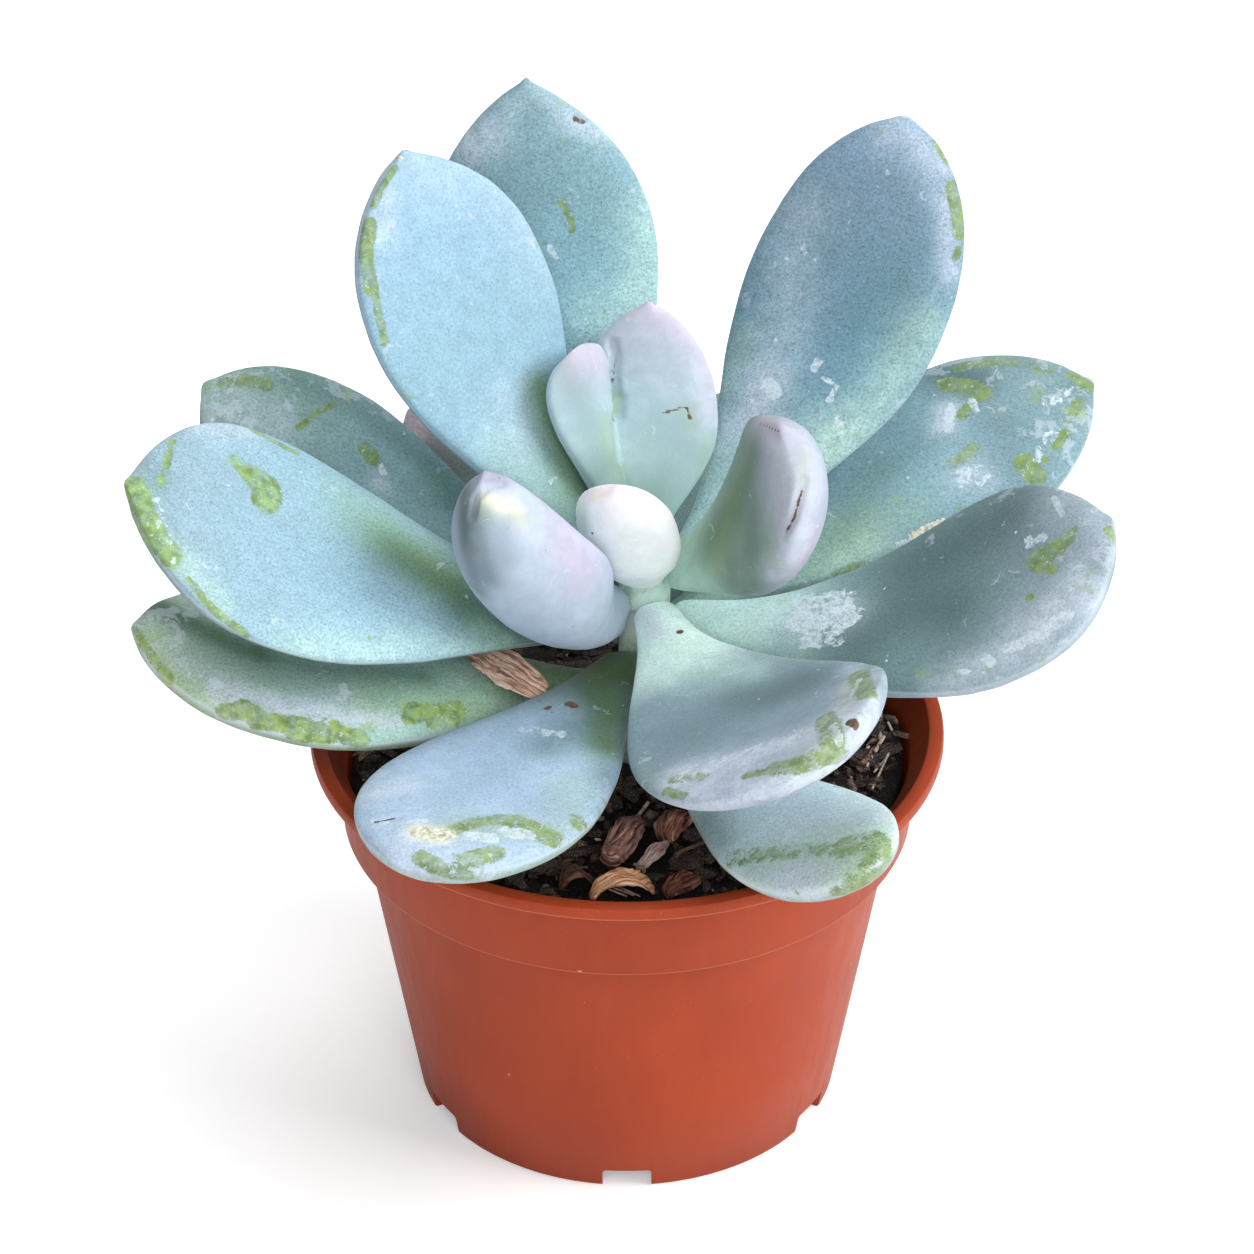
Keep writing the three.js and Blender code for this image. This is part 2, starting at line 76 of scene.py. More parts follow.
print(len(frame["nodes"]), "nodes; the pot's axis is at", tuple(round(v, 5) for v in AXIS))

# %% [markdown]
# ## Camera
# The picture was taken from about 0.8 m away, looking down at about 34 degrees with a long lens, so the
# pot's rim is a flat ellipse and its sides hardly converge. A camera looks along its own -Z, so tilting
# it up from straight down by 90 - 33.6 degrees gives that view. The square picture is 1254 pixels wide,
# and a metre seen from a metre away would cover 6028 of them, which fixes the focal length. The
# distance and the tilt could be moved by eye, but the ellipses of the rim and the foot settle both.

# %% Camera
LOOK_DOWN = math.radians(33.6)
DISTANCE = 0.8
PICTURE = 1254
PIXELS_PER_UNIT = 6028
aim = AXIS + Vector((0, 0, 0.0718))
backwards = Vector((0, -math.cos(LOOK_DOWN), math.sin(LOOK_DOWN)))
bpy.ops.object.select_all(action="DESELECT")
bpy.ops.object.camera_add(location=aim + backwards * DISTANCE,
                          rotation=(math.pi / 2 - LOOK_DOWN, 0, 0))
camera = bpy.context.object
camera.name = "camera"
camera.data.sensor_width = 36
camera.data.lens = PIXELS_PER_UNIT / PICTURE * 36
camera.data.clip_start = 0.01
bpy.context.scene.camera = camera
print("lens", round(camera.data.lens, 2), "mm")


# %% [markdown]
# ## Node helpers
# A finish is a small network of nodes. Building it by hand takes many clicks, so these helpers add a
# node, set its sockets and return it. Sizes are given in millimetres and colours as #rrggbb.

# %% Node helpers
def paint(code):
    """The linear colour that a shader takes, from a code such as #be5539."""
    parts = [int(code[i:i + 2], 16) / 255 for i in (1, 3, 5)]
    return [p / 12.92 if p <= 0.04045 else ((p + 0.055) / 1.055) ** 2.4 for p in parts] + [1]


def put(tree, kind, inputs=None, **settings):
    """Adds one node. An input is a value or another node's output."""
    node = tree.nodes.new("ShaderNode" + kind)
    for name, value in settings.items():
        setattr(node, name, value)
    for name, value in (inputs or {}).items():
        if isinstance(value, bpy.types.NodeSocket):
            tree.links.new(value, node.inputs[name])
        else:
            node.inputs[name].default_value = value
    return node


def blend(tree, share, below, above, how="MIX"):
    """Mixes two colours: share 0 shows below, and 1 shows above."""
    mix = put(tree, "Mix", data_type="RGBA", blend_type=how)
    for index, value in ((0, share), (6, below), (7, above)):
        if isinstance(value, bpy.types.NodeSocket):
            tree.links.new(value, mix.inputs[index])
        else:
            mix.inputs[index].default_value = value
    return mix.outputs[2]


def calc(tree, operation, first, second=0.0, clamp=False):
    return put(tree, "Math", {0: first, 1: second}, operation=operation, use_clamp=clamp).outputs[0]


def fade(tree, value, start, end, low=0.0, high=1.0):
    """Rises smoothly from low to high while value goes from start to end."""
    inputs = {"Value": value, "From Min": start, "From Max": end, "To Min": low, "To Max": high}
    return put(tree, "MapRange", inputs, interpolation_type="SMOOTHSTEP").outputs["Result"]


def grain(tree, place, size, detail=3.0, roughness=0.55, distortion=0.0):
    """Noise between 0 and 1 whose features are about size millimetres across."""
    inputs = {"Vector": place, "Scale": 1 / (size * MM), "Detail": detail, "Roughness": roughness,
              "Distortion": distortion}
    return put(tree, "TexNoise", inputs).outputs["Fac"]


def attribute(tree, name):
    return put(tree, "Attribute", attribute_name=name).outputs["Fac"]


def object_place(tree):
    return put(tree, "TexCoord").outputs["Object"]


SOCKETS = {"colour": "NodeSocketColor", "value": "NodeSocketFloat", "vector": "NodeSocketVector"}


def effect(name, inputs, outputs):
    """A node group with named sockets. Returns its tree, the inputs' sockets and its output node."""
    tree = bpy.data.node_groups.new(name, "ShaderNodeTree")
    for socket, kind in inputs.items():
        tree.interface.new_socket(socket, in_out="INPUT", socket_type=SOCKETS[kind])
    for socket, kind in outputs.items():
        tree.interface.new_socket(socket, in_out="OUTPUT", socket_type=SOCKETS[kind])
    given = tree.nodes.new("NodeGroupInput").outputs
    return tree, given, tree.nodes.new("NodeGroupOutput")


def new_finish(name):
    """An empty material: its tree and its output node's surface socket."""
    material = bpy.data.materials.new(name)
    material.use_nodes = True
    tree = material.node_tree
    tree.nodes.clear()
    surface = tree.nodes.new("ShaderNodeOutputMaterial").inputs["Surface"]
    return material, tree, surface


print("node helpers ready")


# %% [markdown]
# ## Mesh helpers
# Operators act on what is selected, and the loaded nodes start out selected. So each step selects
# exactly one piece first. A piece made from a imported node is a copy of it: the copy's loose triangles
# are merged and paired up to four-sided faces, which a subdivision surface rounds evenly.

# %% Mesh helpers
def only(piece):
    bpy.ops.object.select_all(action="DESELECT")
    piece.select_set(True)
    bpy.context.view_layer.objects.active = piece


def edit(piece, everything=True):
    only(piece)
    bpy.ops.object.mode_set(mode="EDIT")
    bpy.ops.mesh.select_all(action="SELECT" if everything else "DESELECT")


def leave_edit():
    bpy.ops.object.mode_set(mode="OBJECT")


def points_of(mesh):
    numbers = np.empty(len(mesh.vertices) * 3, np.float32)
    mesh.vertices.foreach_get("co", numbers)
    return numbers.reshape(-1, 3).astype(float)


def normals_of(mesh):
    numbers = np.empty(len(mesh.vertices) * 3, np.float32)
    mesh.vertices.foreach_get("normal", numbers)
    return numbers.reshape(-1, 3).astype(float)


def move_points(mesh, points):
    mesh.vertices.foreach_set("co", points.astype(np.float32).ravel())
    mesh.update()


def apply_modifier(piece, kind, **settings):
    """Adds a modifier, sets it and applies it."""
    only(piece)
    modifier = piece.modifiers.new(kind.lower(), kind)
    for name, value in settings.items():
        setattr(modifier, name, value)
    bpy.ops.object.modifier_apply(modifier=modifier.name)


def copy_of_node(node, name):
    """A piece with its own merged mesh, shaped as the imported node."""
    only(frame["nodes"][node])
    bpy.ops.object.duplicate()
    piece = bpy.context.object
    piece.name = piece.data.name = name
    piece.parent = None
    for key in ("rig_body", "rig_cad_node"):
        del piece[key]
    edit(piece)
    bpy.ops.mesh.remove_doubles(threshold=0.02 * MM)
    bpy.ops.mesh.tris_convert_to_quads(face_threshold=math.pi, shape_threshold=math.pi)
    leave_edit()
    bpy.ops.mesh.customdata_custom_splitnormals_clear()
    bpy.ops.object.shade_smooth()
    return piece


def store(piece, name, values):
    """Keeps one number for each point, for the finish to read."""
    layer = piece.data.attributes.new(name, "FLOAT", "POINT")
    layer.data.foreach_set("value", np.asarray(values, np.float32))


def dress(piece, material, slot, *nodes):
    """Gives the piece its finish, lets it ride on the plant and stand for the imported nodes."""
    piece.data.materials.clear()
    piece.data.materials.append(material)
    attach(piece, "root")
    if nodes:
        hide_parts(*nodes)


def waves(points, size, seed):
    """Smooth noise between -1 and 1 at each point, with features of about size millimetres."""
    offset = Vector((seed * 13.7, seed * 7.3, seed * 3.1))
    return np.array([noise.noise(Vector(p) / (size * MM) + offset) for p in points])


print("mesh helpers ready")

# %% [markdown]
# ## Leaf surfaces
# A leaf of this plant is a plump, rounded paddle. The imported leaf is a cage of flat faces, and a
# subdivision surface rounds it. Rounding pulls a cage inwards, so the cage is first pushed out until
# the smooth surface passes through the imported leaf's own points. That keeps the leaf's size.

# %% Smooth a leaf without shrinking it
STEM_AXIS = Vector((AXIS.x + 2.3 * MM, AXIS.y + 1.5 * MM, 0))
print("the stem's axis is at", tuple(round(v, 5) for v in STEM_AXIS))


def round_off(piece, levels):
    target = points_of(piece.data)
    from_stem = np.hypot(target[:, 0] - STEM_AXIS.x, target[:, 1] - STEM_AXIS.y)
    root = target[from_stem <= np.quantile(from_stem, 0.03)].mean(0)
    tip = target[np.argmax(np.linalg.norm(target - root, axis=1))]
    from_tip = np.linalg.norm(target - tip, axis=1)
    free = np.where(from_stem > 6 * MM, np.where(from_tip < 0.5 * MM, 0.25, 1.0), 0.0)[:, None]
    cage = target.copy()
    rounding = piece.modifiers.new("rounding", "SUBSURF")
    rounding.levels = rounding.render_levels = 1
    for _ in range(3):
        rounded = piece.evaluated_get(bpy.context.evaluated_depsgraph_get())
        error = target - points_of(rounded.data)[:len(target)]
        error *= np.minimum(1, MM / np.maximum(1e-9, np.linalg.norm(error, axis=1)))[:, None]
        cage += error * free
        move_points(piece.data, cage)
    rounding.levels = rounding.render_levels = levels
    only(piece)
    bpy.ops.object.modifier_apply(modifier=rounding.name)


# %% [markdown]
# ## Where a point lies on its leaf
# The powder on a leaf follows the leaf: it thins towards the root and the rim. So each point gets its
# own share of the way from root to tip, and across. The leaf is cut into slices in thought. In each
# slice the direction in which its points spread most is its width, and what is square to that and to
# the leaf's length is the way its upper face looks.

# %% Leaf coordinates
SLICES = 24


def leaf_map(piece):
    """Shares along and across, how near the rim, and whether on the upper face."""
    points = points_of(piece.data)
    normals = normals_of(piece.data)
    from_stem = np.hypot(points[:, 0] - STEM_AXIS.x, points[:, 1] - STEM_AXIS.y)
    root = points[from_stem <= np.quantile(from_stem, 0.03)].mean(0)
    tip = points[np.argmax(np.linalg.norm(points - root, axis=1))]
    length = tip - root
    along = np.clip((points - root) @ length / (length @ length), 0, 1)
    slice_of = np.minimum((along * SLICES).astype(int), SLICES - 1)
    centres, wides, halves = [], [], []
    for k in range(SLICES):
        near = points[np.abs(slice_of - k) <= 1]
        centre = (near.max(0) + near.min(0)) / 2
        flat = near - near.mean(0)
        flat = flat - np.outer(flat @ length, length) / (length @ length)
        wide = np.linalg.eigh(flat.T @ flat)[1][:, -1]
        if wides and wide @ wides[-1] < 0:
            wide = -wide
        centres.append(centre)
        wides.append(wide)
        halves.append(np.abs((near - centre) @ wide).max())
    spots = (np.arange(SLICES) + 0.5) / SLICES
    centre = np.stack([np.interp(along, spots, [c[i] for c in centres]) for i in range(3)], 1)
    wide = np.stack([np.interp(along, spots, [w[i] for w in wides]) for i in range(3)], 1)
    face = np.cross(length / np.linalg.norm(length), wide)
    face /= np.linalg.norm(face, axis=1)[:, None]
    inwards = np.stack([STEM_AXIS.x - centre[:, 0], STEM_AXIS.y - centre[:, 1]], 1)
    upwards = np.column_stack([inwards, np.full(len(centre), 20 * MM)])
    if (face * upwards).sum() < 0:
        face = -face
    looks = (normals * face).sum(1)
    across = ((points - centre) * wide).sum(1) / np.interp(along, spots, halves)
    store(piece, "along", along)
    store(piece, "across", np.clip(across, -1, 1))
    store(piece, "rim", 1 - np.abs(looks))
    store(piece, "upper", looks)
    return along, across


# %% [markdown]
# ## Marks on the leaves
# The powder on these leaves is worn off in places, and some spots are scarred or flaked. Each mark is
# a short brush stroke, and so are the soft washes, some of which are painted shade and highlights. A
# stroke's points say where it is in the picture, and the stroke is cast from the camera on to its own
# leaf, so that it lies on the surface from any side. A stroke leaves a number at each point of the mesh
# near it, and the finish breaks that up with noise.

# %% Cast strokes on to a leaf
def ray_at(x, y):
    """The direction from the camera through a point of the picture."""
    side = Vector((1, 0, 0))
    up = Vector((0, math.sin(LOOK_DOWN), math.cos(LOOK_DOWN)))
    ahead = -backwards
    half = PICTURE / 2
    return (ahead * PIXELS_PER_UNIT + side * (x - half) - up * (y - half)).normalized()


def cast_stroke(tree, stroke, step=3.0):
    """Where the stroke's line meets the surface, about every few pixels."""
    found = []
    for start, end in zip(stroke, stroke[1:] or stroke):
        count = max(1, int(math.dist(start, end) / step))
        for k in range(count + 1):
            share = k / count
            x, y = (a + (b - a) * share for a, b in zip(start, end))
            place = tree.ray_cast(camera.location, ray_at(x, y))[0]
            if place is not None:
                found.append(place)
    return found


MARK_KINDS = ("rub", "flake", "scar", "scab", "crease")
# The washes include painted shade, grey and green, and the cream wash also lays a few painted highlights.
WASH_KINDS = ("thin", "thick", "painted_shade", "mint", "blush", "painted_green_shade", "cream_and_highlight", "plum")


def mark_leaf(piece, strokes):
    """strokes: (kind, strength, radius in pixels, points of the picture)."""
    tree = BVHTree.FromObject(piece, bpy.context.evaluated_depsgraph_get())
    points = points_of(piece.data)
    layers = {kind: np.zeros(len(points)) for kind in MARK_KINDS + WASH_KINDS}
    for kind, strength, radius, line in strokes:
        places = cast_stroke(tree, line)
        if not places:
            print("a stroke misses", piece.name, kind, line[0])
            continue
        reach = radius / (PIXELS_PER_UNIT / DISTANCE)
        near = np.full(len(points), 1e9)
        for place in places:
            near = np.minimum(near, ((points - np.array(place)) ** 2).sum(1))
        if kind in WASH_KINDS:
            share = strength * np.exp(-near / (1.15 * reach) ** 2)
            layers[kind] = 1 - (1 - layers[kind]) * (1 - share)
        else:
            share = np.clip(1.5 - np.sqrt(near) / reach, 0, 1)
            layers[kind] = np.maximum(layers[kind], strength * share * share * (3 - 2 * share))
    depth = layers["crease"] * 0.9 * MM
    move_points(piece.data, points - normals_of(piece.data) * depth[:, None])
    for kind, values in layers.items():
        store(piece, kind, values)


print("leaf helpers ready")

# %% [markdown]
# ## The powdery skin
# A moonstone leaf is green flesh under a pale wax powder. Thick powder looks lilac white, thin powder
# blue or grey green, and where it has been wiped off the green shows. One node group holds all of
# this, because every leaf has it, and each leaf then sets its own colours on it. The tones come first:
# the colour runs from root to tip, the washes tint it or lay painted shade and a few painted highlights
# on it, clouds and fine speckle vary it, and the rim and the tip are the most worn, with a painted
# highlight line at the rim's edge.

# %% Tones of the powder
# Mint tints the leaves pale green. At the bright leaf bases it is partly painted light.
MINT = "#b8d8cc"
BLUSH = "#cdb4cc"
FLAKE = "#d0dee6"
FLESH_DEEP = "#5f7a34"
# A dark green that is mixed in as painted shade where leaves shade each other.
GREEN_SHADE = "#4f7a5c"
# Cream tints the scabs, and it also paints a few highlights.
CREAM_AND_GLINT = "#f1ecd2"
PLUM = "#9a97ae"
# A grey that is multiplied in as painted shade where leaves shade each other.
SHADE = "#acb8b2"
PORE = "#98b6a0"


def broken(tree, value, noise_value, spread, start, end):
    """A stroke's soft number, made a mask with a ragged border."""
    shaken = calc(tree, "MULTIPLY_ADD", noise_value, spread)
    shaken.node.inputs[2].default_value = -spread / 2
    return fade(tree, calc(tree, "ADD", value, shaken), start, end)


def flecks(tree, place, size, share, reach):
    """Small irregular dots: one in each cell of size millimetres, kept in a share of the cells."""
    cells = put(tree, "TexVoronoi", {"Vector": place, "Scale": 1 / (size * MM)})
    draw = put(tree, "SeparateColor", {0: cells.outputs["Color"]}).outputs["Red"]
    kept = calc(tree, "LESS_THAN", draw, share)
    dot = fade(tree, cells.outputs["Distance"], reach, reach * 0.6)
    return calc(tree, "MULTIPLY", kept, dot)


def ragged_place(tree, place, size, amount):
    """The place shaken by noise, so that round dots and straight borders turn irregular."""
    shake = put(tree, "TexNoise", {"Vector": place, "Scale": 1 / (size * MM), "Detail": 3.0})
    centred = put(tree, "VectorMath", {0: shake.outputs["Color"], 1: (0.5, 0.5, 0.5)},
                  operation="SUBTRACT").outputs[0]
    scaled = put(tree, "VectorMath", {0: centred, "Scale": amount * MM},
                 operation="SCALE").outputs[0]
    return put(tree, "VectorMath", {0: place, 1: scaled}, operation="ADD").outputs[0]


def powder_tones(tree, given, wisps, powder):
    """The colour from root to tip, with the washes (some of them painted shade), the clouds and the speckle
    on it.
    """
    place = object_place(tree)
    clouds = grain(tree, place, 11, 2)
    drift = calc(tree, "MULTIPLY_ADD", clouds, 0.24)
    drift.node.inputs[2].default_value = -0.12
    drifted = calc(tree, "ADD", attribute(tree, "along"), drift)
    colour = blend(tree, fade(tree, drifted, 0.1, 0.45), given["Root"], given["Middle"])
    colour = blend(tree, fade(tree, drifted, 0.55, 0.95), colour, given["Tip"])
    colour = blend(tree, fade(tree, attribute(tree, "upper"), 0.05, -0.55), colour, given["Under"])
    # Two of these layers are painted shade where leaves shade each other: a grey one multiplied in and a dark
    # green one mixed in. The cream layer also paints a few highlights, and the powder layer paints one
    # highlight streak. The mint layer is partly painted light at bright bases.
    for layer, tint, how, share in (
            ("mint", paint(MINT), "MIX", 0.8), ("blush", paint(BLUSH), "MIX", 0.8),
            ("painted_green_shade", paint(GREEN_SHADE), "MIX", 0.9), ("cream_and_highlight", paint(CREAM_AND_GLINT), "MIX", 0.9),
            ("plum", paint(PLUM), "MIX", 0.9), ("painted_shade", paint(SHADE), "MULTIPLY", 1.0),
            ("thick", given["Powder"], "MIX", 0.85), ("thin", given["Flesh"], "MIX", 0.5)):
        amount = calc(tree, "MULTIPLY", attribute(tree, layer), fade(tree, wisps, 0.25, 0.6, 0.72, 1.0))
        colour = blend(tree, calc(tree, "MULTIPLY", amount, share), colour, tint, how)

    cloudy = fade(tree, wisps, 0.3, 0.72, 0.93, 1.07)
    speckled = calc(tree, "MULTIPLY", fade(tree, powder, 0.3, 0.7, -0.12, 0.17), given["Speckle"])
    tone = calc(tree, "MULTIPLY", cloudy, calc(tree, "ADD", speckled, 1.0))
    colour = blend(tree, 1.0, colour, tone, "MULTIPLY")
    pores = fade(tree, grain(tree, place, 0.32, 3, 0.8), 0.53, 0.66)
    pores = calc(tree, "MULTIPLY", calc(tree, "MULTIPLY", pores, given["Speckle"]), 0.55)
    return blend(tree, pores, colour, paint(PORE), "MULTIPLY")


def rim_and_wear(tree, given, colour):
    """Pale powder along the rim, a painted highlight line at its very edge, and chalky and bare patches
    towards the borders and the tip.
    """
    along, rim = attribute(tree, "along"), attribute(tree, "rim")
    near_rim = calc(tree, "MULTIPLY", fade(tree, rim, 0.55, 0.95), fade(tree, along, 0.15, 0.4))
    colour = blend(tree, calc(tree, "MULTIPLY", near_rim, given["Rim"]), colour, given["Powder"])
    # A pale line at the very edge of the rim: partly powder, partly a painted highlight.
    rim_powder_and_highlight = calc(tree, "MULTIPLY", fade(tree, rim, 0.86, 1.0), given["Rim"])
    colour = blend(tree, rim_powder_and_highlight, colour, paint(FLAKE))

    place = object_place(tree)
    sides = calc(tree, "ABSOLUTE", attribute(tree, "across"))
    outer = calc(tree, "MAXIMUM", fade(tree, sides, 0.45, 1.0), fade(tree, along, 0.7, 1.0))
    outer = calc(tree, "MULTIPLY", outer, fade(tree, along, 0.3, 0.6))
    reach = calc(tree, "MULTIPLY", calc(tree, "MULTIPLY", outer, given["Wear"]), 0.14)
    chalk_noise = grain(tree, place, 3.2, 5, 0.68, 0.6)
    chalk = fade(tree, calc(tree, "ADD", chalk_noise, reach), 0.65, 0.69)
    colour = blend(tree, calc(tree, "MULTIPLY", chalk, 0.34), colour, given["Powder"])
    bare_noise = grain(tree, ragged_place(tree, place, 1.2, 0.7), 4.1, 4, 0.66, 0.4)
    bare = fade(tree, calc(tree, "ADD", bare_noise, reach), 0.70, 0.74)
    return blend(tree, calc(tree, "MULTIPLY", bare, 0.4), colour, given["Flesh"]), chalk


print("the tones, the rim and the wear can be built")

# %% [markdown]
# The marks lie over the tones, from the flattest to the highest: what is rubbed off first, then loose
# crumbs and dust, then flakes, scabs and scars. Each function gives back its mask too, because the
# same mask then raises, sinks or polishes the mark.

# %% The marks on the skin
def rubbed_green(tree, given, powder, colour):
    """Bare flesh under the rub strokes, with some powder left in it."""
    place = object_place(tree)
    rub_noise = calc(tree, "MULTIPLY_ADD", grain(tree, place, 2.4, 6, 0.78, 0.4), 0.7)
    tree.links.new(calc(tree, "MULTIPLY", powder, 0.3), rub_noise.node.inputs[2])
    rub = broken(tree, calc(tree, "MULTIPLY", attribute(tree, "rub"), 0.88), rub_noise, 2.5, 0.42, 0.6)
    worn = blend(tree, fade(tree, grain(tree, place, 1.6, 3), 0.3, 0.7), given["Flesh"],
                 paint(FLESH_DEEP))
    left_over = fade(tree, grain(tree, place, 0.6, 4, 0.75), 0.58, 0.66, 0, 0.7)
    worn = blend(tree, left_over, worn, given["Powder"])
    rub_share = fade(tree, grain(tree, place, 1.8, 4, 0.7), 0.35, 0.6, 0.55, 0.92)
    return blend(tree, calc(tree, "MULTIPLY", rub, rub_share), colour, worn), rub


def loose_specks(tree, colour):
    """Crumbs of powder, finer dust and small dark specks."""
    shaken = ragged_place(tree, object_place(tree), 0.9, 0.9)
    crumbs = flecks(tree, shaken, 4.2, 0.34, 0.07)
    colour = blend(tree, calc(tree, "MULTIPLY", crumbs, 0.75), colour, paint(FLAKE))
    dust = flecks(tree, shaken, 1.7, 0.3, 0.085)
    colour = blend(tree, calc(tree, "MULTIPLY", dust, 0.3), colour, paint(FLAKE))
    specks = flecks(tree, shaken, 3.1, 0.14, 0.06)
    return blend(tree, calc(tree, "MULTIPLY", specks, 0.6), colour, paint("#5f6a4c")), crumbs


def flakes_and_scars(tree, colour):
    """Lacy flakes, crusty scabs and brown scars under their strokes."""
    place = object_place(tree)
    flake_noise = grain(tree, place, 1.5, 4, 0.68, 0.5)
    flake = broken(tree, attribute(tree, "flake"), flake_noise, 1.5, 0.46, 0.52)
    veins = grain(tree, place, 0.55, 3, 0.6, 1.2)
    flake_tone = fade(tree, calc(tree, "ADD", veins, calc(tree, "MULTIPLY", flake_noise, 0.35)),
                      0.55, 0.8, 0.25, 0.85)
    colour = blend(tree, calc(tree, "MULTIPLY", flake, flake_tone), colour, paint(FLAKE))
    crust = grain(tree, place, 0.9, 4, 0.7)
    crust_share = fade(tree, crust, 0.35, 0.65)
    scab = broken(tree, attribute(tree, "scab"), crust, 0.7, 0.5, 0.56)
    colour = blend(tree, scab, colour, blend(tree, crust_share, paint("#a6a884"), paint("#eceadc")))
    scar = broken(tree, attribute(tree, "scar"), crust, 0.5, 0.42, 0.54)
    colour = blend(tree, scar, colour, blend(tree, crust_share, paint("#3c291a"), paint("#7a593a")))
    return colour, flake, scab, scar


print("the marks can be built")

# %% [markdown]
# The group joins these parts. Its height adds up the masks, so that flakes stand up and scars sink in,
# and its roughness is lower where the powder is off, because bare flesh has a soft gloss.

# %% The powdery skin as a node group
def make_powdery_skin():
    tree, given, out = effect(
        "powdery skin",
        {"Root": "colour", "Middle": "colour", "Tip": "colour", "Under": "colour", "Flesh": "colour",
         "Powder": "colour", "Speckle": "value", "Rim": "value", "Wear": "value"},
        {"Colour": "colour", "Roughness": "value", "Height": "value"})
    place = object_place(tree)
    wisps = grain(tree, place, 2.4, 5, 0.62, 0.4)
    powder = grain(tree, place, 0.36, 2, 0.7)
    colour = powder_tones(tree, given, wisps, powder)
    colour, chalk = rim_and_wear(tree, given, colour)
    colour, rub = rubbed_green(tree, given, powder, colour)
    colour, crumbs = loose_specks(tree, colour)
    colour, flake, scab, scar = flakes_and_scars(tree, colour)

    height = calc(tree, "MULTIPLY", powder, 0.2)
    for layer, share in ((wisps, 0.35), (flake, 0.5), (scab, 1.1), (crumbs, 0.5), (rub, -0.3),
                         (scar, -0.4), (chalk, 0.15)):
        height = calc(tree, "ADD", height, calc(tree, "MULTIPLY", layer, share))
    smooth = calc(tree, "MULTIPLY_ADD", rub, -0.2)
    smooth.node.inputs[2].default_value = 0.64
    tree.links.new(colour, out.inputs["Colour"])
    tree.links.new(calc(tree, "MAXIMUM", smooth, calc(tree, "MULTIPLY", flake, 0.9)),
                   out.inputs["Roughness"])
    tree.links.new(height, out.inputs["Height"])
    return tree


powdery_skin = make_powdery_skin()
print(len(powdery_skin.nodes), "nodes in the powdery skin")

# %% [markdown]
# Each leaf gets its own material on that group, because the real leaves differ: the inner ones are
# thickly powdered and lilac, the outer ones blue, and the low ones thin and green. A little sheen
# stands for the powder that catches light along a leaf's turn, and a bump made of the group's height
# lets the light find the grain and the flakes without more faces.

# %% A leaf's own finish
def leaf_finish(name, root, middle, tip, under, flesh="#86a052", powder="#cfd8e8", speckle=1.0,
                rim=0.45, wear=1.0, glow=0.0):
    material, tree, surface = new_finish(name + "_powder")
    skin = put(tree, "Group", {"Root": paint(root), "Middle": paint(middle), "Tip": paint(tip),
                               "Under": paint(under), "Flesh": paint(flesh), "Powder": paint(powder),
                               "Speckle": speckle, "Rim": rim, "Wear": wear}, node_tree=powdery_skin)
    relief = put(tree, "Bump", {"Height": skin.outputs["Height"], "Strength": 0.5,
                                "Distance": 0.14 * MM})
    shader = put(tree, "BsdfPrincipled", {
        "Base Color": skin.outputs["Colour"], "Roughness": skin.outputs["Roughness"],
        "Normal": relief.outputs["Normal"], "Specular IOR Level": 0.35, "Sheen Weight": 0.1,
        "Sheen Roughness": 0.6, "Subsurface Weight": glow, "Subsurface Radius": (1.0, 1.0, 0.8),
        "Subsurface Scale": 5 * MM})
    tree.links.new(shader.outputs[0], surface)
    return material


# %% [markdown]
# ## The leaves one by one
# Each leaf has four colours: at its root, in its middle, at its tip and on its underside. Painting
# them on an image would need an unwrapped leaf, and the imported leaves have no such map, so the colours
# run by the numbers stored along each leaf. Speckle, rim and wear say how grainy, how pale at the rim
# and how worn a leaf is. The bud's flesh lets some light through, so it has a glow.

